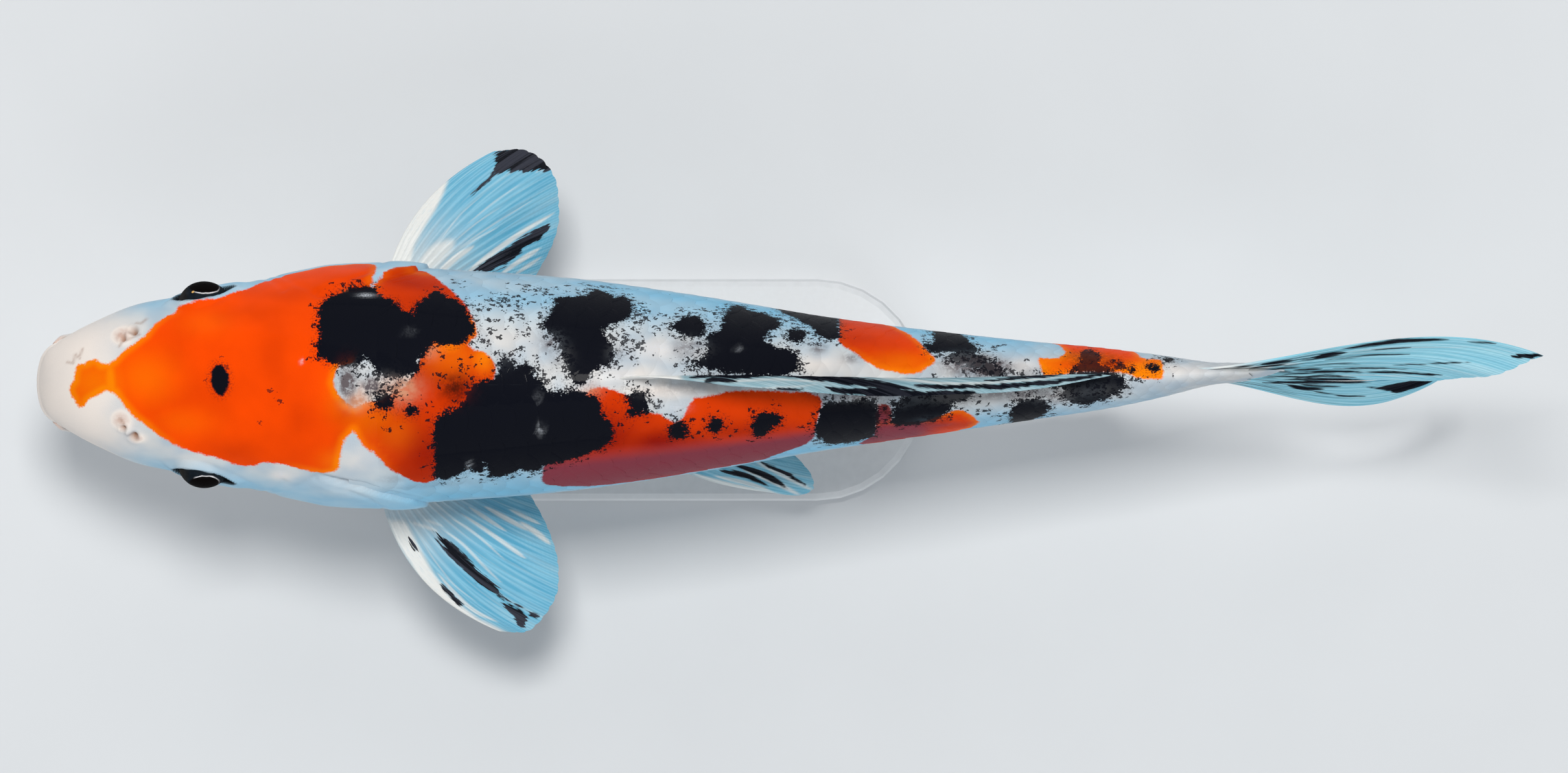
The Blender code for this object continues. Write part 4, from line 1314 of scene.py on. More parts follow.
@dataclass
class Skin:
    """The one skin of head, body and tail stalk."""

    body: BodyForm
    relief: HeadRelief
    markings: Markings
    columns: int = 288
    bare_depth: float = 0.12
    coated_depth: float = 0.46
    head_step: float = 0.46
    body_step: float = 1.5
    # How dark the painted shade is in the nostrils, the gap under the gill cover and the mouth's slit, and
    # how dark the snout's lines are.
    nostril_dark: float = 0.95
    line_dark: float = 0.42
    gill_dark: float = 0.45
    mouth_dark: float = 0.7

    def build(self) -> bpy.types.Object:
        """Makes the skin from rings round the body.

        Returns:
            The skin, with the fields that its finish reads.
        """
        along = np.concatenate([
            3.0 * (np.arange(1, 25) / 24) ** 2,
            np.arange(3.3, HEAD_END, self.head_step),
            np.arange(HEAD_END + 0.6, self.body.end - 0.2, self.body_step),
            [self.body.end],
        ])
        share = np.arange(self.columns) / self.columns - 0.5
        grid_along, grid_share = np.meshgrid(along, share, indexing="ij")
        grid_along, grid_share = grid_along.ravel(), grid_share.ravel()
        arc = grid_share * 2 * self.body.half_round(grid_along)
        turn = self.body.turn_at(grid_along, arc)
        plain = self.body.base(grid_along, turn)
        straight = plain - np.outer(self.body.bend(grid_along), [0, 1, 0])
        behind = coated(grid_along, plain[:, 2])
        lift = -self.bare_depth - (self.coated_depth - self.bare_depth) * smooth(behind, 1.5, 6.5)
        head = grid_along < HEAD_END
        lift[head] += self.relief.heights(straight[head])
        points = plain + self.body.normal(grid_along, turn) * lift[:, None]
        points = Lids(self.relief).over_eyes(points, straight)
        tip = np.array([[-0.02, 0.0, SNOUT_LEVEL]])
        points = np.concatenate([tip, points])
        grid_along = np.concatenate([[0.01], grid_along])
        arc = np.concatenate([[0.0], arc])
        straight = np.concatenate([tip, straight])
        values = self.markings.layers(grid_along, arc)
        # Painted shade in each eye's socket, round the edge of the lids' opening, and in the nostrils, the
        # mouth's slit and the gill cover's gap.
        values["socket"] = smooth(self.relief.eye_opening(straight), -0.75, -0.2)
        values["pit"] = self.pits(straight)
        faces, unwrap = self.faces(along)
        return mesh_piece("koi_skin", points, faces, values, SkinFinish().build(), unwrap)

    def pits(self, points: Array) -> Array:
        """Strength of the painted shade in the nostrils, the gap under the gill cover and the slit of the
        mouth, and of the snout's fine brown lines.
        """
        out = np.abs(points[:, 1])
        found = np.zeros(len(points))
        for along, across, radius in NOSTRILS:
            away = np.hypot(points[:, 0] - along, out - across)
            found = np.maximum(found, (points[:, 2] > -2) * self.nostril_dark * hump(away, 0.0, radius))
        for line in SNOUT_LINES:
            away = polyline_distance(plan_from_above(points), line)
            found = np.maximum(found, (points[:, 2] > -3) * self.line_dark * hump(away, 0.0, 0.26))
        flat = points[:, [0, 2]]
        rear = smooth(flat[:, 0], 60.0, 66.0) * (flat[:, 0] < HEAD_END)
        gap = Ridge(self.gill_dark, 0.45, -0.55)
        found = np.maximum(found, rear * gap(depth_inside(flat, GILL_COVER)))
        slit = Ridge(self.mouth_dark, 0.3)(polyline_distance(flat, MOUTH_SLIT))
        return np.maximum(found, slit * (points[:, 0] < 10))

    def faces(self, along: Array) -> tuple[list[Array], list[Array]]:
        """Faces between the rings, with a fan at the snout and a cap at the tail.

        Args:
            along: The rings' places.

        Returns:
            The faces, and the place on the unwrap of each of their corners.
        """
        rows, columns = len(along), self.columns
        quads = quad_grid(rows, columns, first=1, wrap=True)
        cap = np.arange(1 + (rows - 1) * columns, 1 + rows * columns)[None, :]
        u = unwrap_along(along)
        v = UNWRAP_MARGIN + UNWRAP_GIRTH * np.arange(columns + 1) / columns
        i, j = (part.ravel() for part in np.indices((rows - 1, columns)))
        square = np.stack([u[np.stack([i, i, i + 1, i + 1])], v[np.stack([j, j + 1, j + 1, j])]])
        before_snout = np.tile([[0.018], [u[0]], [u[0]]], (1, columns))
        point = np.stack([before_snout, np.stack([(v[:-1] + v[1:]) / 2, v[1:], v[:-1]])])
        circle = 2 * math.pi * np.arange(columns) / columns
        end = np.column_stack([0.985 + 0.008 * np.cos(circle), 0.5 + 0.008 * np.sin(circle)])[None]
        return [quads, fan(0, 1, columns), cap], [square.transpose(2, 1, 0), point.transpose(2, 1, 0), end]


# Distance between scales along a row: places along the body, and the distance there.
PITCH = ((70, 110, 150, 190, 236), (4.7, 4.75, 4.5, 3.9, 3.0))


def doubled(value: Array, count: int) -> Array:
    """Gives a plate's underside the same values as its top, for a number of plates."""
    rest = value.shape[1:]
    return np.repeat(value.reshape(count, 1, -1, *rest), 2, axis=1).reshape(-1, *rest)


@dataclass
class ScaleCoat:
    """Overlapping round scales in staggered rows along the body, as closed plates."""

    body: BodyForm
    markings: Markings
    rows_round: int = 24
    low: float = -0.36
    rise: float = 0.24
    thickness: float = 0.12
    ahead: float = 1.15  # how far a plate's root lies in front of its place, in pitches
    bulge: float = 1.07  # radius of a plate's edge, in row heights
    root_width: float = 0.82
    lip_from: float = 0.93
    lip_drop: float = 0.045
    evenness: float = 0.35  # 1 would keep the rows' height the same all along
    first: float = 62.0
    last: float = 240.5
    across: Array = field(default_factory=lambda: np.linspace(-1.0, 1.0, 13))
    down: Array = field(
        default_factory=lambda: np.array([0.0, 0.3, 0.48, 0.62, 0.74, 0.84, 0.92, 0.975, 1.0])
    )

    def row_height(self, along: Array) -> Array:
        """Distance between rows, which falls more slowly than the girth does."""
        girth = 2 * self.body.half_round(along)
        widest = 2 * float(self.body.half_round(np.array(100.0)))
        return girth / self.rows_round * (widest / girth) ** self.evenness

    def lattice(self) -> dict[str, Array]:
        """Places the scales.

        Returns:
            Arrays of each scale's place along, row, pitch and row height.
        """
        fine = np.linspace(self.first, self.last, 2000)
        pitch = np.interp(fine, *PITCH)
        count = np.concatenate([[0.0], np.cumsum(np.diff(fine) / pitch[:-1])])
        found: list[tuple[float, int, float, float]] = []
        for row in range(-14, 15):
            numbers = np.arange(0.0, count[-1], 1.0) + (0.5 if row % 2 else 0.0)
            along = np.interp(numbers, count, fine)
            height = self.row_height(along)
            arc = row * height
            half = self.body.half_round(along)
            inside = np.abs(arc) < half - 0.3 * height
            up = self.body.base(along, self.body.turn_at(along, np.where(inside, arc, 0.0)))[..., 2]
            inside &= coated(along, up) > 0.4
            for x, h in zip(along[inside], height[inside], strict=True):
                found.append((x, row, float(np.interp(x, fine, pitch)), h))
        along, row, pitch, height = map(np.array, zip(*found, strict=True))
        return {"along": along, "row": row, "pitch": pitch, "height": height}

    def build(self) -> list[bpy.types.Object]:
        """Makes the coat in three joined meshes.

        Returns:
            The pieces, in order round the body.
        """
        scales = self.lattice()
        finish = ScaleFinish().build()
        pieces = []
        for name, low, high in (
            ("scales_back", -2, 2),
            ("scales_right", 3, 14),
            ("scales_left", -14, -3),
        ):
            chosen = (scales["row"] >= low) & (scales["row"] <= high)
            picked = {key: value[chosen] for key, value in scales.items()}
            pieces.append(self.plates(name, picked, finish))
            LOG.info("%s: %d scales", name, int(chosen.sum()))
        return pieces

    def plates(
        self, name: str, scales: dict[str, Array], finish: bpy.types.Material
    ) -> bpy.types.Object:
        """Makes one joined mesh of closed plates.

        Args:
            name: The piece's name.
            scales: The scales' places, as lattice gives them.
            finish: The scales' material.

        Returns:
            The piece.
        """
        count = len(scales["along"])
        x0, row, pitch, height = (scales[key][:, None, None] for key in ("along", "row", "pitch", "height"))
        chance = np.random.default_rng(7 + len(name)).random((count, 3))[:, :, None, None]
        u, v = self.across[None, :, None], self.down[None, None, :]
        radius = self.bulge * height * (1 + 0.03 * (chance[:, 0] - 0.5))
        edge = pitch + np.sqrt(np.maximum(radius**2 - (u * height) ** 2, 0)) - radius
        edge = edge + 0.025 * pitch * np.sin(7 * u + 9 * chance[:, 1]) * (1 - u * u)
        front = -self.ahead * pitch
        down = (edge - front) * v
        along = x0 + front + down
        arc = row * self.row_height(along) + u * height * (self.root_width + (1 - self.root_width) * v)
        lift = self.low + self.rise * down / ((1 + self.ahead) * pitch) + 0.02 * (chance[:, 2] - 0.5)
        lip = np.clip((v - self.lip_from) / (1 - self.lip_from), 0, 1)
        top = lift - self.lip_drop * lip**2
        focus = np.hypot(u * 0.9, v - 0.15)
        bottom = lift - self.thickness
        together = np.broadcast_arrays(along, arc, top, bottom, v, focus)
        along, arc, top, bottom, v, focus = (part.reshape(-1) for part in together)
        points = np.concatenate([
            self.body.surface(along, arc, level).reshape(count, -1, 3) for level in (top, bottom)
        ], axis=1).reshape(-1, 3)
        values = {**self.markings.layers(along, arc), "down": v, "focus": focus}
        values = {key: doubled(value, count) for key, value in values.items()}
        faces, places = self.plate_faces()
        size = len(self.across) * len(self.down) * 2
        all_faces = (faces[None] + np.arange(count)[:, None, None] * size).reshape(-1, 4)
        girth = 2 * self.body.half_round(scales["along"])
        high = UNWRAP_GIRTH * scales["height"] / girth
        centre = np.column_stack([unwrap_along(scales["along"]), 0.5 + scales["row"] * high])
        cell = np.column_stack([UNWRAP_LENGTH * scales["pitch"] / UNWRAP_BODY, high])
        unwrap = centre[:, None, None, :] + places[None] * cell[:, None, None, :]
        return mesh_piece(name, points, [all_faces], values, finish, [unwrap.reshape(-1, 4, 2)], sharp=50.0)

    def plate_faces(self) -> tuple[Array, Array]:
        """Faces of one plate, and their corners' places in the plate's own cell."""
        rows, columns = len(self.across), len(self.down)
        faces = sheet_faces(rows, columns)
        i, j = np.divmod(faces % (rows * columns), columns)
        v = self.down[j]
        along = np.where(faces >= rows * columns, 0.36 + 0.06 * v, -0.42 + 0.74 * v)
        return faces, np.stack([along, 0.42 * self.across[i]], axis=-1)


@dataclass(frozen=True)
class FinPlan:
    """One fin: its surface, rays and marks.

    A point of the surface goes from its root line to its tip line along a bowed ray. Marks are
    outlines in plan, and lines in plan with their half width.
    """

    name: str
    roots: Line
    tips: Line
    bows: Line
    rays: int
    columns: int  # corners across the rays
    outward: int  # corners along a ray
    late: float = 1.0  # how late along a ray the bow comes
    fleshy: float = 0.0  # how much the root is thickened
    lead: float = 0.0  # share of the fin that the pale leading edge takes
    root: float = 0.2  # how far out the pale root reaches
    # painted light: the gain brightens the film's colours for a steep fin that the lamps light less from
    # above
    gain: float = 1.0  # how much the film is brightened
    hair: float = 0.0  # strength of the dark threads near the root
    hidden: float = 9.0  # the share of the rays where the marks end
    ragged: float = 0.25  # how uneven the marks' edges are
    sheen: float = 0.06
    films: tuple[Colour, Colour] = ((0.12, 0.44, 0.62), (0.21, 0.53, 0.69))
    dark: tuple[Line, ...] = ()
    pale: tuple[Line, ...] = ()
    dark_lines: tuple[tuple[float, Line], ...] = ()
    pale_lines: tuple[tuple[float, Line], ...] = ()


PECTORAL = {
    "rays": 16, "columns": 240, "outward": 64, "fleshy": 1.2, "root": 0.62, "ragged": 0.8,
    "films": ((0.095, 0.425, 0.635), (0.17, 0.51, 0.70)),
}
# The tail's lobes stand steep, so their film's colours are brightened as painted light.
TAIL = {
    "rays": 10, "columns": 190, "outward": 72, "late": 1.6, "root": 0.2, "gain": 1.34, "hair": 0.9,
    "sheen": 0.0, "films": ((0.15, 0.44, 0.56), (0.27, 0.55, 0.64)),
}
PECTORAL_RIGHT = FinPlan(
    name="pectoral_fin_right",
    roots=((68.8, 17, -18), (72.2, 15.5, -20.5), (76, 14, -23)),
    tips=(
        (91, 46.9, -25.5), (95.7, 47.7, -25), (100.8, 45.4, -24.5), (104, 40.2, -24.5), (104.4, 34.6, -25),
        (102.9, 28.4, -26), (99.6, 21.6, -27.5),
    ),
    bows=((-4.2, 2.6, 1.5), (-1.4, 1.2, 2.2), (0, 0, 1.5)),
    **PECTORAL,
    dark=((
        (92.4, 41.7), (92, 43.6), (92.4, 46.4), (96.9, 47.6), (100.8, 46.4), (104.4, 43.6),
        (103.4, 42.6), (98.9, 42), (96.5, 42.6),
    ), (
        (87.6, 22.6), (93, 26.2), (98, 29.3), (102.9, 31.9), (102.6, 30.2), (100.8, 28.3), (98.6, 27.2),
        (96, 24.8), (93.6, 23.4), (91, 22.2),
    )),
    pale=((
        (67.5, 18), (70.6, 26.5), (74.2, 32.6), (78, 37.6), (82.4, 41), (82.8, 40.2), (81.8, 37.6),
        (80.4, 34.8), (78, 31), (76, 27.4), (74, 18),
    ),),
    dark_lines=((0.16, ((87.2, 37), (89.6, 39.4), (91.4, 41.2), (92.2, 42.6))),),
    pale_lines=(
        (1.5, ((76.4, 21.6), (80, 25.4), (84, 28.4))), (0.5, ((80, 21), (84, 24.8), (88, 27.4))),
        (0.16, ((83, 25.4), (87.6, 28.4), (93, 31.2))), (0.13, ((86.4, 31.6), (92, 36.2), (97.6, 40))),
        (0.42, ((86, 21.4), (90, 24.8), (97, 29.8), (104, 34))),
        (0.26, ((89, 22.2), (93, 25.4), (98.4, 28.9))), (0.4, ((93, 21.6), (98, 25), (101.2, 27))),
        (0.3, ((96, 21.6), (101.4, 25.2))), (0.14, ((82.6, 27), (88, 31.6), (94, 35.6))),
        (0.16, ((84, 26.4), (92, 31.8), (100, 36.8))), (0.12, ((81, 28.2), (85, 33.4), (90, 37.8))),
        (0.2, ((93.4, 45.2), (97, 46.2))), (0.16, ((98.4, 44.4), (101.6, 45.4))),
        (0.16, ((99.6, 43.2), (103, 44.2))), (0.16, ((100.4, 42.2), (103.6, 43.2))),
    ),
)
PECTORAL_LEFT = FinPlan(
    name="pectoral_fin_left",
    roots=((67.4, -18, -18), (71.2, -16.5, -20.5), (75.5, -15, -23)),
    tips=(
        (92, -50.7, -26.5), (97.2, -50.6, -26), (101.8, -47, -25), (104.2, -41.2, -24.5), (103.8, -35, -25),
        (101.8, -28.8, -26), (98, -22.6, -27.5),
    ),
    bows=((-4.6, -3.6, 2), (-1.6, -1.8, 2.6), (0, 0, 1.5)),
    **PECTORAL,
    dark=((
        (79, -28.6), (81.7, -31), (83.3, -31.7), (85.2, -33.5), (86.9, -35.2), (89.8, -38.4),
        (93.2, -41.4), (92.4, -42.4), (91.1, -41.9), (88.3, -40.2), (87, -38.6), (84.9, -36.4),
        (82.8, -34.4), (81.3, -32.4), (79.6, -30),
    ), (
        (91.4, -41.4), (94.6, -43.8), (97.4, -45.4), (98.6, -46.6), (97.8, -48.8), (97, -48.8),
        (96.4, -46.8), (92, -42.4),
    )),
    pale=((
        (70.6, -27.4), (72.2, -31.6), (75.8, -37.4), (79.4, -42.9), (83.4, -47), (88, -49.8),
        (93.4, -51.2), (95.4, -50.4), (92.8, -49), (88.9, -47.1), (85.3, -44.4), (82.2, -41.2),
        (80, -38.2), (77.8, -34.4), (75.8, -30.6), (74.2, -27.6),
    ),),
    dark_lines=(
        (0.3, ((74.8, -31.2), (75.8, -32.6), (76.4, -33.8))),
        (0.45, ((81.3, -40.3), (83.4, -42.6), (85.7, -44.8))),
        (0.2, ((97.2, -47), (99.2, -46.6), (100.8, -46.8))),
    ),
    pale_lines=(
        (0.26, ((75, -27.8), (78, -28.8), (81, -29.8))), (0.2, ((78, -27.4), (82, -28.8))),
        (0.34, ((80.6, -38), (84, -42), (88, -45.6), (92.6, -47.8))),
        (0.34, ((85.6, -26.4), (90.4, -29.6), (96.3, -33.8), (98.2, -35.2))),
        (0.34, ((87, -25), (90.4, -27.2), (94.4, -29.8))),
        (0.4, ((90, -24.8), (94.4, -27.2), (98.9, -29.7))), (0.34, ((95, -25.4), (101.2, -28.4))),
        (0.45, ((97, -27.8), (100.6, -30.2), (103.2, -32.4))),
        (0.22, ((83.4, -27.2), (86.5, -29), (90, -31.8), (94, -35.4))),
        (0.24, ((81.6, -29.4), (85.6, -32.2), (89.8, -36.6), (93.6, -40.2))),
        (0.14, ((76.8, -30.6), (80.4, -36), (84, -40.4), (88.6, -44))),
    ),
)
PELVIC_RIGHT = FinPlan(
    name="pelvic_fin_right",
    roots=((116, 9, -25), (119, 6.5, -26.5), (122, 4, -27.5)),
    tips=(
        (147, 13.3, -39.5), (151, 13.2, -40), (153.8, 12, -40), (153.6, 10, -39.5), (150.5, 7.4, -38),
        (144.5, 4.6, -35.5),
    ),
    bows=((-0.8, 1.6, 0.6), (0, 0.8, 1), (0, 0, 0.4)),
    rays=9, columns=150, outward=48, fleshy=0.8, lead=0.07,
    dark_lines=((0.5, ((138, 11.4), (146, 12.6), (153, 12.2))), (0.4, ((140, 8), (151, 9.2)))),
)
PELVIC_LEFT = FinPlan(
    name="pelvic_fin_left",
    roots=((116, -9.5, -25), (119, -7, -26.5), (122, -4.5, -27.5)),
    tips=(
        (149, -22.5, -37), (153.5, -22.8, -37), (156.3, -21.6, -36.5), (155.4, -18.5, -36),
        (151.5, -14, -35), (145, -9, -33.5),
    ),
    bows=((-0.8, -3, 0.6), (0, -1.4, 1), (0, 0, 0.4)),
    rays=9, columns=150, outward=48, fleshy=0.8,
    dark_lines=(
        (0.42, ((137, -17.6), (142, -18.4), (147, -20.6))),
        (0.5, ((140, -16.4), (146, -18.4), (151, -21.2))),
        (0.3, ((145, -15.8), (150, -18), (154.6, -20.6))),
    ),
    pale_lines=(
        (0.5, ((131, -18), (138, -20.2), (145, -21.8), (149.6, -22.4))),
        (0.35, ((136, -18.6), (143, -20.2), (149, -22.4))),
        (0.4, ((142, -17.4), (148, -19.8), (153.6, -22.6))),
        (0.35, ((144, -15.6), (150, -18.6), (156, -21.6))),
    ),
)
DORSAL = FinPlan(
    name="dorsal_fin",
    roots=(
        (116, 0.4, 30), (136, 0.8, 29), (156, 0.7, 25), (176, 0.5, 19.5), (196, 0.6, 14.5),
    ),
    tips=(
        (141, -0.6, 43.5), (150, -1.6, 43.6), (163, -2.2, 38.6), (177, -2.6, 32.2), (189, -2.2, 26.4),
        (202, -0.8, 21.2), (215, 1.2, 16.6),
    ),
    bows=((-3, 1.2, 3), (-1, 1.6, 1.6), (0, 1.2, 0.8), (0, 0.6, 0.6)),
    rays=20, columns=260, outward=48, hair=0.7, sheen=0.0, ragged=0.35,
    films=((0.22, 0.40, 0.47), (0.40, 0.55, 0.60)),
    dark=((
        (150, 2.2), (156, 1.9), (160, 1.2), (165, 0.4), (172, -0.4), (178, -1.4), (168, -0.9),
        (160, 0.3),
    ), (
        (158, -0.9), (164, -1.3), (170, -1), (178, -1.9), (188, -1.6), (190, -2.6), (180, -3.4),
        (168, -2.9), (160, -2.2),
    ), (
        (186, -1), (196, -0.2), (206, 0.6), (214, 2), (214, 1.2), (204, -0.4), (192, -1.6),
    )),
    dark_lines=(
        (0.5, ((131, 0.8), (136, 1.4), (141, 1.2), (146, 1.5), (151, 1.3))),
        (0.7, ((146, 1.9), (152, 1.5), (158, 0.9), (163, 0.2), (170, -0.6), (177, -1.6))),
        (0.45, ((134, 0.2), (137, 0.5), (141, 0))), (0.3, ((137, -1.2), (145, -1.6), (154, -1.5))),
        (0.4, ((176, -0.6), (184, -1), (192, -0.6))), (0.3, ((190, 0.2), (198, 0.9), (206, 1.4))),
    ),
    pale_lines=(
        (0.22, ((132, 0.4), (140, 0.2), (148, 0.5), (158, 0))),
        (0.25, ((165, 1.3), (175, 0.4), (185, -0.4), (195, 0.1), (205, 0.9))),
        (0.18, ((134, -1), (142, -1.3), (152, -1), (157, -0.4))),
    ),
    pale=(((108, -6), (108, 6), (127, 6), (130, 0), (127, -6)),),
)
ANAL = FinPlan(
    name="anal_fin",
    roots=((182, 0.1, -15.5), (192, 0.2, -13), (202, 0.4, -11.2)),
    tips=(
        (206, 0.6, -38.5), (211.5, 1, -38.5), (216.5, 1.4, -33.5), (219, 1.5, -27), (219, 1.4, -20.5),
    ),
    bows=((-2.4, 0.4, -2.2), (0, 0.4, 0), (0, 0.2, 0.6)),
    rays=8, columns=140, outward=48, lead=0.08, hair=0.3, sheen=0.02,
)
STEM = BODY_LENGTH - 2
TAIL_UPPER = FinPlan(
    name="tail_fin_upper",
    roots=((STEM, 2.8, 11.2), (STEM, 2.2, 6), (STEM, 1.5, 0)),
    tips=(
        (299.7, 5.4, 27.6), (294.5, 2.8, 21.5), (288, 1, 14.5), (280.5, 0.6, 7), (272, 0.7, 0),
    ),
    bows=((0, 4.6, 2.4), (0, 2.6, 1.2), (0, -0.6, 0)),
    **TAIL,
    dark_lines=(
        (0.34, ((261.5, 6.7), (268, 7.7), (275, 8.5), (284, 8.7))), (0.19, ((286.5, 8.3), (293, 7.9))),
        (0.42, ((295.5, 5.3), (302.5, 5.5))), (0.37, ((255.8, 5), (259, 5.6), (263, 6.2))),
        (0.28, ((245.4, 3.7), (249, 4.2), (252.6, 4.6))), (0.15, ((238.6, 3.7), (242, 3.9), (245.6, 4.4))),
        (0.14, ((240, 2), (246, 2.5), (252, 2.2))),
        (0.22, ((249, 1.5), (255, 2.1), (262, 2.3), (269, 1.9))),
        (0.19, ((252, 0.9), (258, 1.5), (265, 1.2))),
        (0.22, ((266, 2.2), (272, 2.2), (278, 1.8), (282.5, 1.7))),
        (0.22, ((246.6, 0.3), (254, 0.8), (262, 0.7), (269, 0.3))),
        (0.12, ((254, 3.2), (260, 3.8), (266, 3.9))), (0.11, ((241, 1.3), (248, 1.8))),
        (0.17, ((243, 3.1), (247, 3.4), (251, 3.7))), (0.14, ((244, 2.3), (251, 3))),
        (0.2, ((252, 2.6), (258, 2.9))), (0.14, ((258, 4.6), (266, 5.2))), (0.14, ((240, 3.2), (244, 3.5))),
        (0.17, ((248, 2.9), (254, 3.2))), (0.14, ((253, 4.6), (259, 5.1))),
        (0.12, ((246, 1.2), (252, 1.3), (258, 0.9))), (0.12, ((260, 2.9), (268, 3), (276, 2.8))),
        (0.1, ((268, 6.6), (276, 7.2))), (0.11, ((262, 5), (268, 5.6), (276, 5.8))),
        (0.099, ((272, 3.6), (280, 3.9), (288, 4.2))), (0.11, ((250, 3.4), (256, 4.3))),
    ),
    pale_lines=(
        (0.12, ((262, 6.2), (274, 7.1), (288, 7.2))), (0.12, ((256, 1.1), (266, 1.6), (284, 1.2))),
        (0.36, ((236, 2.9), (242, 3), (248, 3.2))), (0.2, ((246, 3.4), (254, 4))),
    ),
)
TAIL_LOWER = FinPlan(
    name="tail_fin_lower",
    roots=((STEM, 1.5, 0), (STEM, 1.1, -6), (STEM, 0.7, -11.4)),
    tips=(
        (272, 0.7, 0), (276, 0.9, -8), (280, 1, -17.5), (283.5, 0.9, -26), (283.5, 0.9, -33),
    ),
    bows=((0, -0.6, 0), (0, -3, -1.2), (0, -5.6, -2.6)),
    **TAIL,
    hidden=0.74,
    dark=((
        (268.4, -1), (271, -0.3), (274, 0.2), (279, 0.8), (283, 1.2), (280.4, -0.4), (277.4, -1.3),
        (275.4, -1.5), (273.8, -2.7), (272.2, -1.9), (270.6, -1.5),
    ),),
    dark_lines=(
        (0.36, ((250.8, -0.3), (254, -1), (258.6, -1.2))), (0.23, ((246, 0.1), (253, 0.2), (268, 0.1))),
        (0.17, ((253.6, -0.2), (257, -0.6), (262, -0.7))), (0.13, ((259, -2), (263, -2.6), (267, -2.6))),
        (0.15, ((256, -1.6), (260, -2.2))), (0.12, ((266, -0.6), (270, -1), (275, -1))),
        (0.1, ((262, -3.4), (266, -3.6))),
    ),
)
FIN_PLANS = (
    PECTORAL_RIGHT, PECTORAL_LEFT, PELVIC_RIGHT, PELVIC_LEFT, DORSAL, ANAL, TAIL_UPPER, TAIL_LOWER,
)


@dataclass(frozen=True)
class FinFinish:
    """Thin wet membrane between pale jointed rays."""

    plan: FinPlan
    roughness: float = 0.4
    cover: float = 0.78  # how far the film hides what lies behind it
    soot: tuple[Colour, Colour] = ((0.005, 0.006, 0.010), (0.045, 0.048, 0.066))
    streak: Colour = (0.44, 0.63, 0.70)
    ray: Colour = (0.50, 0.66, 0.72)
    root: Colour = (0.60, 0.64, 0.65)
    thread: Colour = (0.04, 0.045, 0.05)
    pale: Colour = (0.80, 0.80, 0.77)
    joints: float = 260.0

    def lit(self, colour: Colour) -> tuple[float, ...]:
        """A colour of the membrane, brightened as painted light for a steep fin that is lit less from above.
        """
        return tuple(min(1.0, part * self.plan.gain) for part in colour)

    def build(self) -> bpy.types.Material:
        """Makes the material."""
        plan = self.plan
        settings = wet(self.roughness, plan.sheen, plan.sheen, 0.1)
        material, graph, shader = new_material(f"koi_{plan.name}", settings)
        where = graph.place("spread")
        stretch = graph.add("Mapping", {"Vector": where, "Scale": (1.0, 0.16, 1.0)}).outputs[0]
        noise, fine = graph.noise(where, 0.5, 3), graph.noise(where, 2.4, 2)
        streak = graph.noise(stretch, 1.3, 3)
        rays, share, pale = graph.field("rays"), graph.field("share"), graph.field("pale")
        # The membrane, its rays and its pale root with dark threads.
        film = graph.mix(graph.step(noise, 0.3, 0.75), *(self.lit(film) for film in plan.films))
        film = graph.mix(graph.step(streak, 0.45, 0.75, (0.0, 0.5)), film, self.lit(self.streak))
        colour = graph.mix(graph.times(rays, 0.25), film, self.lit(self.ray))
        root = graph.step(graph.plus(share, graph.spread(streak, 0.5)), plan.root, plan.root * 0.2)
        colour = graph.mix(graph.times(root, 0.85), colour, self.root)
        thread = graph.step(graph.noise(stretch, 2.1, 2), 0.50, 0.60, (0.0, plan.hair))
        colour = graph.mix(graph.times(thread, graph.step(share, 0.75, 0.2)), colour, self.thread)
        # The marks.
        bright = graph.times(pale, graph.step(fine, 0.15, 0.5, (0.6, 1.0)))
        colour = graph.mix(bright, colour, self.pale)
        edge = graph.plus(graph.spread(fine, 1.6 * plan.ragged), graph.spread(streak, 3.2 * plan.ragged))
        dark = graph.step(graph.plus(graph.field("dark"), edge), -0.12, 0.16)
        soot = graph.mix(graph.step(streak, 0.46, 0.60, (0.0, plan.ragged)), *self.soot)
        cover = graph.scaled(rays, 0.2, self.cover)
        cover = graph.plus(cover, graph.step(share, 0.35, 0.0, (0.0, 0.5)))
        for mark in (dark, pale):
            cover = graph.most(cover, graph.times(mark, 0.95))
        joints = graph.math("SINE", graph.times(share, self.joints))
        joints = graph.times(joints, graph.times(rays, 0.5))
        graph.wire(shader, {
            "Base Color": graph.mix(dark, colour, soot),
            "Alpha": graph.clamp(cover),
            "Normal": graph.bump(graph.plus(joints, fine), FINE_RELIEF, 0.5),
        })
        return material


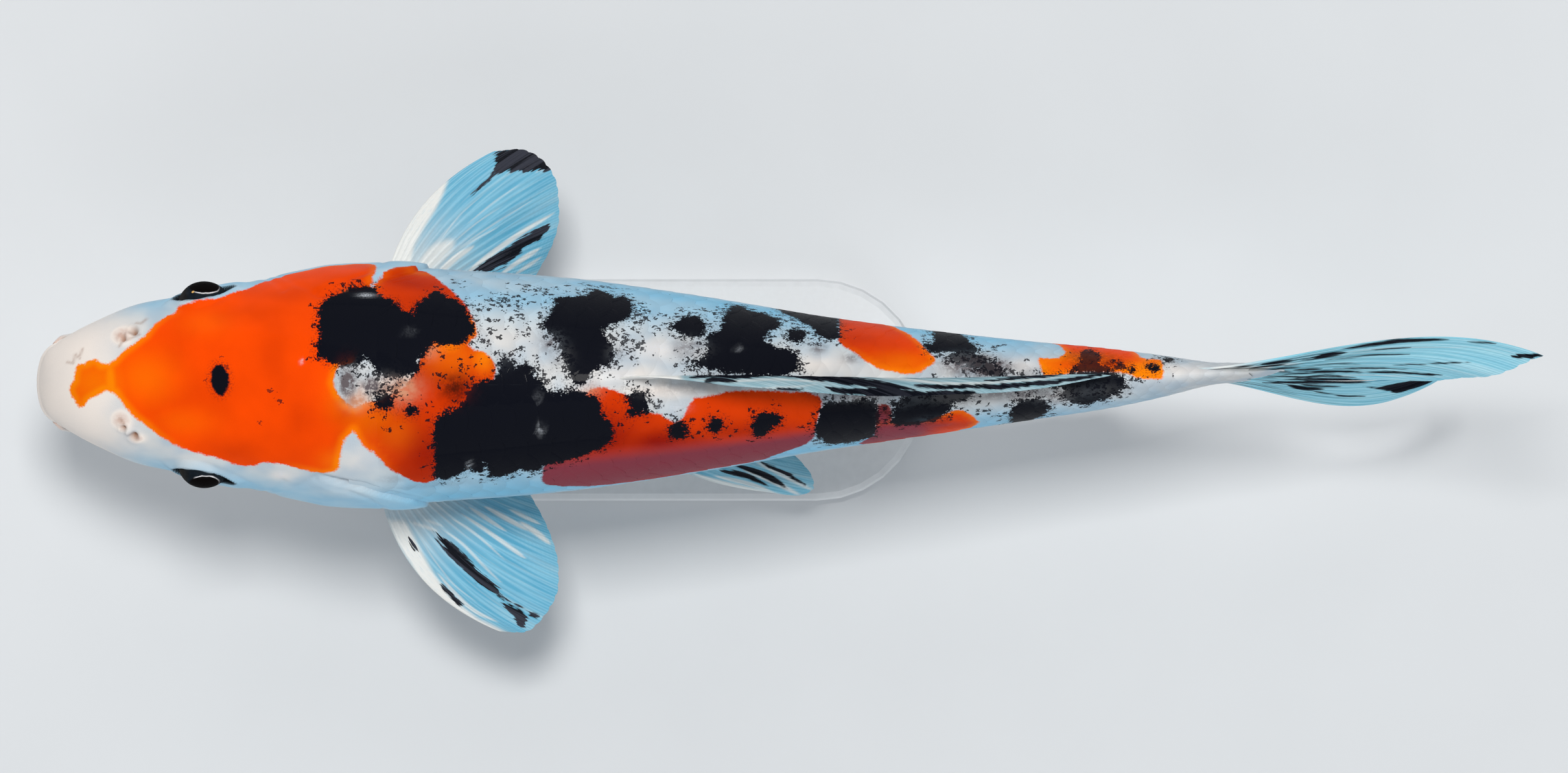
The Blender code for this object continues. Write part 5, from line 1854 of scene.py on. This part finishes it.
@dataclass
class Fin:
    """Builds one fin as a closed sheet with branching rays."""

    plan: FinPlan
    film: float = 0.10  # half the film's thickness
    ray_height: float = 0.11
    spine: float = 0.14  # how much thicker the leading edge is
    ripple: float = 0.28
    notch: float = 0.006  # depth of the notches between the rays, as a share of their length
    inside: float = 0.08  # how far the sheet goes on inside the body, likewise
    step: float = 1e-3  # share over which the normals are measured

    def surface(self, ray: Array, share: Array) -> Array:
        """Points of the fin's middle surface."""
        plan = self.plan
        root, tip, bow = (line_at(line, ray) for line in (plan.roots, plan.tips, plan.bows))
        t = share[..., None]
        late = np.sign(t) * np.abs(t) ** plan.late
        return root + (tip - root) * t + bow * 4 * late * (1 - late)

    def rays(self, ray: Array, share: Array) -> Array:
        """Height of the nearest ray or branch, from 0 between them to 1 on them."""
        place = ray * self.plan.rays
        away = np.abs(place - np.floor(place) - 0.5)
        away = np.abs(away - 0.25 * smooth(share, 0.38, 0.95))
        away = np.abs(away - 0.125 * smooth(share, 0.66, 1.05))
        return hump(away, 0.0, 0.20 - 0.12 * smooth(share, 0.3, 1.0))

    def marks(self, ray: Array, plan_view: Array) -> tuple[Array, Array]:
        """Depth inside the dark marks, and strength of the pale ones."""
        plan = self.plan
        dark = np.full(len(plan_view), FAR_OUT)
        pale = 1 - smooth(ray, plan.lead * 0.6, plan.lead * 1.4) if plan.lead else np.zeros(len(plan_view))
        for outline in (*plan.dark, *(stroke(line, width) for width, line in plan.dark_lines)):
            dark = np.maximum(dark, depth_inside(plan_view, outline))
        for outline in plan.pale:
            pale = np.maximum(pale, smooth(depth_inside(plan_view, outline), -0.5, 0.6))
        for width, line in plan.pale_lines:
            depth = depth_inside(plan_view, stroke(line, width))
            pale = np.maximum(pale, min(0.85, 0.15 + 1.6 * width) * smooth(depth, -0.5 * width, 0.6 * width))
        dark -= 6 * smooth(ray, plan.hidden - 0.08, plan.hidden + 0.08)
        return dark, pale

    def normals(self, ray: Array, share: Array) -> Array:
        """Normals of the fin's middle surface."""
        before, behind = np.clip(ray - self.step, 0, 1), np.clip(ray + self.step, 0, 1)
        over = self.surface(behind, share) - self.surface(before, share)
        out = self.surface(ray, share + self.step) - self.surface(ray, share - self.step)
        return unit(np.cross(over, out))

    def half_thickness(self, ray: Array, share: Array, height: Array) -> Array:
        """Half the fin's thickness, with its rays, its leading edge and its fleshy root."""
        outward = np.clip(share, 0, 1)
        half = self.film + self.ray_height * height * (1 - 0.62 * outward)
        half = half + self.spine * hump(ray, 0.0, 0.022) * (1 - 0.6 * outward)
        fleshy = hump(np.maximum(share, 0), 0.0, 0.13) * (1 - (2 * ray - 1) ** 4)
        rim = np.minimum(np.minimum(ray, 1 - ray) * self.plan.columns / 2.0, 1.0)
        half = (half + self.plan.fleshy * fleshy) * (0.35 + 0.65 * rim)
        return half * (1 - 0.45 * smooth(share, 0.97, 1.0))

    def build(self) -> bpy.types.Object:
        """Makes the fin.

        Returns:
            The piece, with the fields that its finish reads.
        """
        plan = self.plan
        rows, columns = plan.columns, plan.outward
        ray, share = np.meshgrid(
            np.linspace(0.0, 1.0, rows), np.linspace(-self.inside, 1.0, columns), indexing="ij"
        )
        place = ray * plan.rays
        between_rays = np.abs(place - np.floor(place) - 0.5) * 2
        short = self.notch * between_rays**2 * smooth(ray, 0.02, 0.1)
        spread = np.where(share > 0, share * (1 - short * smooth(share, 0.7, 1.0)), share)
        middle, normal = self.surface(ray, spread), self.normals(ray, spread)
        height = self.rays(ray, share)
        wave = np.sin(2 * math.pi * (ray * 2.3 + 0.4 * share)) * smooth(share, 0.3, 1.0)
        middle = middle + normal * (self.ripple * wave)[..., None]
        away = normal * self.half_thickness(ray, share, height)[..., None]
        dark, pale = self.marks(ray.ravel(), plan_from_above(middle.reshape(-1, 3)))
        across = np.stack([ray * plan.rays * 2, share * 7.0, np.zeros_like(ray)], axis=-1)
        values = {
            "rays": height.ravel(), "share": share.ravel(), "dark": dark, "pale": pale,
            "spread": across.reshape(-1, 3),
        }
        return mesh_piece(
            f"koi_{plan.name}",
            np.stack([middle + away, middle - away]).reshape(-1, 3),
            [sheet_faces(rows, columns)[:, ::-1]],
            {key: np.concatenate([value, value]) for key, value in values.items()},
            FinFinish(plan).build(),
            sharp=70.0,
        )


@dataclass
class Eye:
    """A bare eyeball with a large dark pupil, a thin bright ring, a dark iris and, on the right eye, a
    painted amber glint.
    """

    body: BodyForm
    side: Side
    rings: int = 96
    columns: int = 96
    turned_down: float = 0.1
    turned_back: float = 0.04
    inset: float = 0.03
    sunk: float = 0.35  # how much lower the ball lies behind the cornea
    # A painted glint: a small amber highlight on the right eye's front, at this place in the eye's own
    # frame, which the left eye's points don't come near.
    fleck: tuple[float, float, float] = (-1.95, 3.8, 4.15)
    fleck_width: float = 0.36

    def build(self) -> bpy.types.Object:
        """Makes the eyeball, a ball round its own axis with a low cornea."""
        sign, ball = self.side.value, self.body.eye_radius
        tilt = self.body.eye_tilt - self.turned_down
        axis = unit(np.array([self.turned_back, sign * math.cos(tilt), math.sin(tilt)]))
        first = unit(np.cross(axis, [1.0, 0.0, 0.0]))
        second = np.cross(axis, first)
        angle = np.linspace(0.0, math.pi, self.rings)
        turn = 2 * math.pi * np.arange(self.columns) / self.columns
        polar, about = (part.ravel() for part in np.meshgrid(angle[1:-1], turn, indexing="ij"))
        radius = ball - self.inset - self.sunk * smooth(np.degrees(polar), 30.0, 75.0)
        flat = radius * np.sin(polar)
        points = (
            np.outer(radius * np.cos(polar), axis)
            + np.outer(flat * np.cos(about), first)
            + np.outer(flat * np.sin(about), second)
        )
        front, back = axis * (ball - self.inset), -axis * (ball - self.inset - self.sunk)
        points = np.concatenate([[front], points, [back]])
        away = np.linalg.norm(points - np.array(self.fleck), axis=1)
        values = {
            "degrees": np.degrees(np.concatenate([[0.0], polar, [math.pi]])),
            "forward": -points[:, 0] / ball,
            "above": points[:, 2] / ball,
            "fleck": hump(away, 0.0, self.fleck_width),
        }
        x, y, z = self.body.eye
        points = points + np.array([x, sign * y + float(self.body.bend(x)), z])
        last = len(points) - 1
        faces = [
            quad_grid(self.rings - 2, self.columns, first=1, wrap=True)[:, ::-1],
            fan(0, 1, self.columns),
            fan(last, last - self.columns, self.columns)[:, ::-1],
        ]
        name = f"koi_eye_{self.side.word}"
        return mesh_piece(name, points, faces, values, EyeFinish(name).build())


@dataclass(frozen=True)
class EyeFinish:
    """A wet eye."""

    name: str
    pupil: float = 28.4  # degrees from the eye's axis
    ring: float = 30.8
    black: Colour = (0.003, 0.002, 0.002)
    iris: tuple[Colour, Colour] = ((0.003, 0.005, 0.007), (0.014, 0.020, 0.028))
    rim: tuple[Colour, Colour] = ((0.006, 0.006, 0.008), (0.80, 0.78, 0.80))
    golden: Colour = (0.55, 0.36, 0.14)
    white: Colour = (0.010, 0.011, 0.013)
    # the painted glint's amber
    fleck: Colour = (0.80, 0.46, 0.14)

    def build(self) -> bpy.types.Material:
        """Makes the material."""
        material, graph, shader = new_material(self.name, wet(0.4, 0.0, 0.05, 0.03, 1.4))
        noise = graph.noise(graph.on_object(), 900.0, 2)
        degrees = graph.plus(graph.field("degrees"), graph.spread(noise, 4.0))
        forward = graph.field("forward")
        bright = graph.step(graph.field("above"), 0.3, 0.85, (0.15, 1.0))
        bright = graph.times(bright, graph.step(forward, 0.34, 0.16))
        colour = graph.step(degrees, self.pupil, self.pupil + 1)
        colour = graph.mix(colour, self.black, graph.mix(bright, *self.rim))
        past_ring = graph.step(degrees, self.ring - 1, self.ring + 1.5)
        colour = graph.mix(past_ring, colour, graph.mix(noise, *self.iris))
        golden = graph.times(graph.step(forward, 0.35, 0.8), 0.03)
        golden = graph.times(golden, graph.step(degrees, self.ring, self.ring + 6))
        colour = graph.mix(golden, colour, self.golden)
        colour = graph.mix(graph.step(degrees, 60.0, 68.0), colour, self.white)
        # The painted glint: a small amber highlight on the right eye's front.
        colour = graph.mix(graph.step(graph.field("fleck"), 0.35, 0.75), colour, self.fleck)
        graph.wire(shader, {"Base Color": colour})
        return material


BARBELS = {
    "long": ((6.6, 8.4, -12.2), (8.5, 10.6, -14.6), (9.9, 11.4, -16.6), (11.8, 12, -18.8)),
    "short": ((3.4, 7.6, -8.6), (4.3, 9, -10.6), (5.6, 9.5, -12), (7.2, 10, -13.4)),
}


@dataclass
class Barbel:
    """A soft feeler at the corner of the mouth."""

    body: BodyForm
    kind: str
    side: Side
    radius: float = 0.56
    sides: int = 20
    tip: float = 0.96  # where the round tip starts, as a share of the length
    tip_length: float = 0.04

    def build(self) -> bpy.types.Object:
        """Makes the feeler as a tapered tube with a round tip."""
        near_tip = 1 - self.tip_length * np.cos(np.linspace(0.3, 1.5, 7))
        share = np.clip(np.concatenate([np.linspace(0.0, self.tip, 44), near_tip]), 0.0, 0.9995)
        centre = line_at(BARBELS[self.kind], share)
        centre[:, 1] = self.side.value * centre[:, 1] + self.body.bend(centre[:, 0])
        ahead = unit(np.gradient(centre, axis=0))
        first = unit(np.cross(ahead, [1.0, 0.2, 0.1]))
        second = np.cross(ahead, first)
        radius = self.radius * (1 - 0.48 * share) * (1 + 0.25 * hump(share, 0.0, 0.22))
        past = np.clip(share - self.tip, 0, 1) / self.tip_length
        radius = radius * np.sqrt(np.clip(1 - past**2, 0.002, 1))
        number = np.arange(self.sides)
        turn = (2 * math.pi * number / self.sides)[None, :, None]
        circle = np.cos(turn) * first[:, None] + np.sin(turn) * second[:, None]
        points = centre[:, None] + circle * radius[:, None, None]
        last = (len(share) - 1) * self.sides
        faces = [quad_grid(len(share), self.sides, wrap=True), np.stack([number[::-1], last + number])]
        values = {"share": np.repeat(share, self.sides)}
        name = f"koi_barbel_{self.kind}_{self.side.word}"
        return mesh_piece(name, points.reshape(-1, 3), faces, values, BarbelFinish().build())


@dataclass(frozen=True)
class BarbelFinish:
    """Pale translucent skin with an orange root."""

    name: str = "koi_barbels"
    root: Colour = (0.70, 0.52, 0.44)
    tip: Colour = (0.62, 0.60, 0.58)

    def build(self) -> bpy.types.Material:
        """Makes the material, once for all feelers."""
        if self.name in bpy.data.materials:
            return bpy.data.materials[self.name]
        material, graph, shader = new_material(self.name, wet(0.32, 0.5, 0.4, 0.15))
        noise = graph.noise(graph.on_object(), 1500.0, 2)
        share = graph.plus(graph.field("share"), graph.spread(noise, 0.3))
        graph.wire(shader, {
            "Base Color": graph.mix(graph.step(share, 0.05, 0.6), self.root, self.tip),
            "Normal": graph.bump(noise, FINE_RELIEF, 0.4),
        })
        return material


class StandFinish(Enum):
    """The stand's finishes, by the start of its nodes' names."""

    stand_base = ((0.68, 0.70, 0.72), 0.5, 0.0)
    stand_rod = ((0.62, 0.63, 0.64), 0.28, 1.0)
    stand_saddle = ((0.60, 0.60, 0.59), 0.62, 0.0)

    def build(self) -> bpy.types.Material:
        """Makes the material."""
        colour, rough, metal = self.value
        material, graph, shader = new_material(self.name, {"Metallic": metal})
        stretch = (900.0, 900.0, 40.0) if metal else (500.0, 500.0, 500.0)
        where = graph.add("Mapping", {"Vector": graph.on_object(), "Scale": stretch}).outputs[0]
        grain = graph.noise(where, 1.0, 3)
        graph.wire(shader, {
            "Base Color": graph.mix(grain, tuple(0.86 * part for part in colour), colour),
            "Roughness": graph.step(grain, 0.2, 0.8, (rough - 0.06, rough + 0.08)),
            "Normal": graph.bump(grain, 0.00003, 0.4),
        })
        return material


def dress_stand() -> list[str]:
    """Gives the stand's own solids their finishes, and returns their nodes' names."""
    shown = []
    for finish in StandFinish:
        material = finish.build()
        for name, node in frame["nodes"].items():
            if name.startswith(finish.name):
                for slot in node.material_slots:
                    slot.link = "DATA"
                    slot.material = material
                shown.append(name)
    return shown


# One key from the fish's right and two wide fills from low down: place, size, watts, colour.
LAMPS = (
    ("studio_key", (-0.06, 0.27, 1.32), 0.26, 11.3, (1.0, 0.98, 0.95)),
    ("studio_fill_left", (0.1, -1.25, 0.85), 1.8, 11.8, (0.94, 0.97, 1.0)),
    ("studio_fill_right", (-0.1, 1.3, 0.85), 1.8, 8.2, (0.97, 0.98, 1.0)),
)


@dataclass
class Studio:
    """The pale floor, the lights and the camera over the fish."""

    lens: float = 183.3
    height: float = 1.6
    aim: tuple[float, float] = (0.0001, 0.00072)
    look_at: tuple[float, float, float] = (0.0, 0.0, 0.06)
    floor_reach: float = 12.0
    sky: tuple[float, float, float, float] = (0.90, 0.95, 1.0, 1.0)
    sky_strength: float = 0.22

    def build(self) -> None:
        """Makes them all."""
        self.floor()
        self.lights()
        self.camera()

    def floor(self) -> None:
        """A wide flat floor."""
        mesh = bpy.data.meshes.new("studio_floor")
        reach = self.floor_reach
        corners = [(x * reach, y * reach, 0.0) for x, y in ((-1, -1), (1, -1), (1, 1), (-1, 1))]
        mesh.from_pydata(corners, [], [(0, 1, 2, 3)])
        floor = bpy.data.objects.new("studio_floor", mesh)
        bpy.context.scene.collection.objects.link(floor)
        material, graph, shader = new_material("studio_floor", {"Roughness": 0.7, "Specular IOR Level": 0.2})
        grain = graph.noise(graph.on_object(), 30.0, 2)
        graph.wire(shader, {"Base Color": graph.mix(grain, (0.66, 0.68, 0.70), (0.69, 0.71, 0.73))})
        mesh.materials.append(material)

    def light(self, name: str, place: tuple, size: float, watts: float, colour: tuple) -> None:
        """A square soft light that looks at the fish."""
        lamp = bpy.data.lights.new(name, "AREA")
        lamp.size = size
        lamp.energy = watts
        lamp.color = colour
        made = bpy.data.objects.new(name, lamp)
        made.location = place
        away = Vector(self.look_at) - Vector(place)
        made.rotation_euler = away.to_track_quat("-Z", "Y").to_euler()
        made.visible_camera = False
        bpy.context.scene.collection.objects.link(made)

    def lights(self) -> None:
        """The lamps and a dim sky."""
        for name, place, size, watts, colour in LAMPS:
            self.light(name, place, size, watts, colour)
        sky = bpy.data.worlds.new("studio_sky")
        sky.use_nodes = True
        back = sky.node_tree.nodes["Background"]
        back.inputs["Color"].default_value = self.sky
        back.inputs["Strength"].default_value = self.sky_strength
        bpy.context.scene.world = sky

    def camera(self) -> None:
        """A long lens straight above, with the snout to the left."""
        lens = bpy.data.cameras.new("studio_camera")
        lens.lens = self.lens
        lens.sensor_width = 36.0
        lens.clip_start, lens.clip_end = 0.05, 30.0
        camera = bpy.data.objects.new("studio_camera", lens)
        camera.location = (*self.aim, AXIS_HEIGHT * MM + self.height)
        bpy.context.scene.collection.objects.link(camera)
        bpy.context.scene.camera = camera
        bpy.context.scene.view_settings.view_transform = "Standard"


BODY_NODES = (
    "head", "lower_jaw", "gill_cover_right", "gill_cover_left", "trunk_front", "trunk_rear", "tail_stalk",
)


def install(piece: bpy.types.Object, slot: str, *nodes: str) -> None:
    """Fixes a finished piece to the fish in place of the nodes that it stands for."""
    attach(piece, "root")
    if nodes:
        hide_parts(*nodes)
    faces = len(piece.data.polygons)
    LOG.info("%s: %d faces%s", piece.name, faces, " for " + ", ".join(nodes) if nodes else "")


def main() -> None:
    """Builds the fish, its stand and the studio, and reports each piece."""
    logging.basicConfig(level=logging.INFO, format="%(message)s")
    body = BodyForm()
    markings = Markings(body)
    build_markings_group(KoiColours())
    install(Skin(body, HeadRelief(body), markings).build(), "orange_skin", *BODY_NODES)
    for piece in ScaleCoat(body, markings).build():
        install(piece, "white_skin")
    for plan in FIN_PLANS:
        install(Fin(plan).build(), "fin", plan.name)
    for side in Side:
        install(Eye(body, side).build(), "eye", f"eye_{side.word}")
        for kind in BARBELS:
            install(Barbel(body, kind, side).build(), "fin", f"barbel_{kind}_{side.word}")
    LOG.info("stand: %s", ", ".join(dress_stand()))
    Studio().build()


if __name__ == "__main__":
    main()
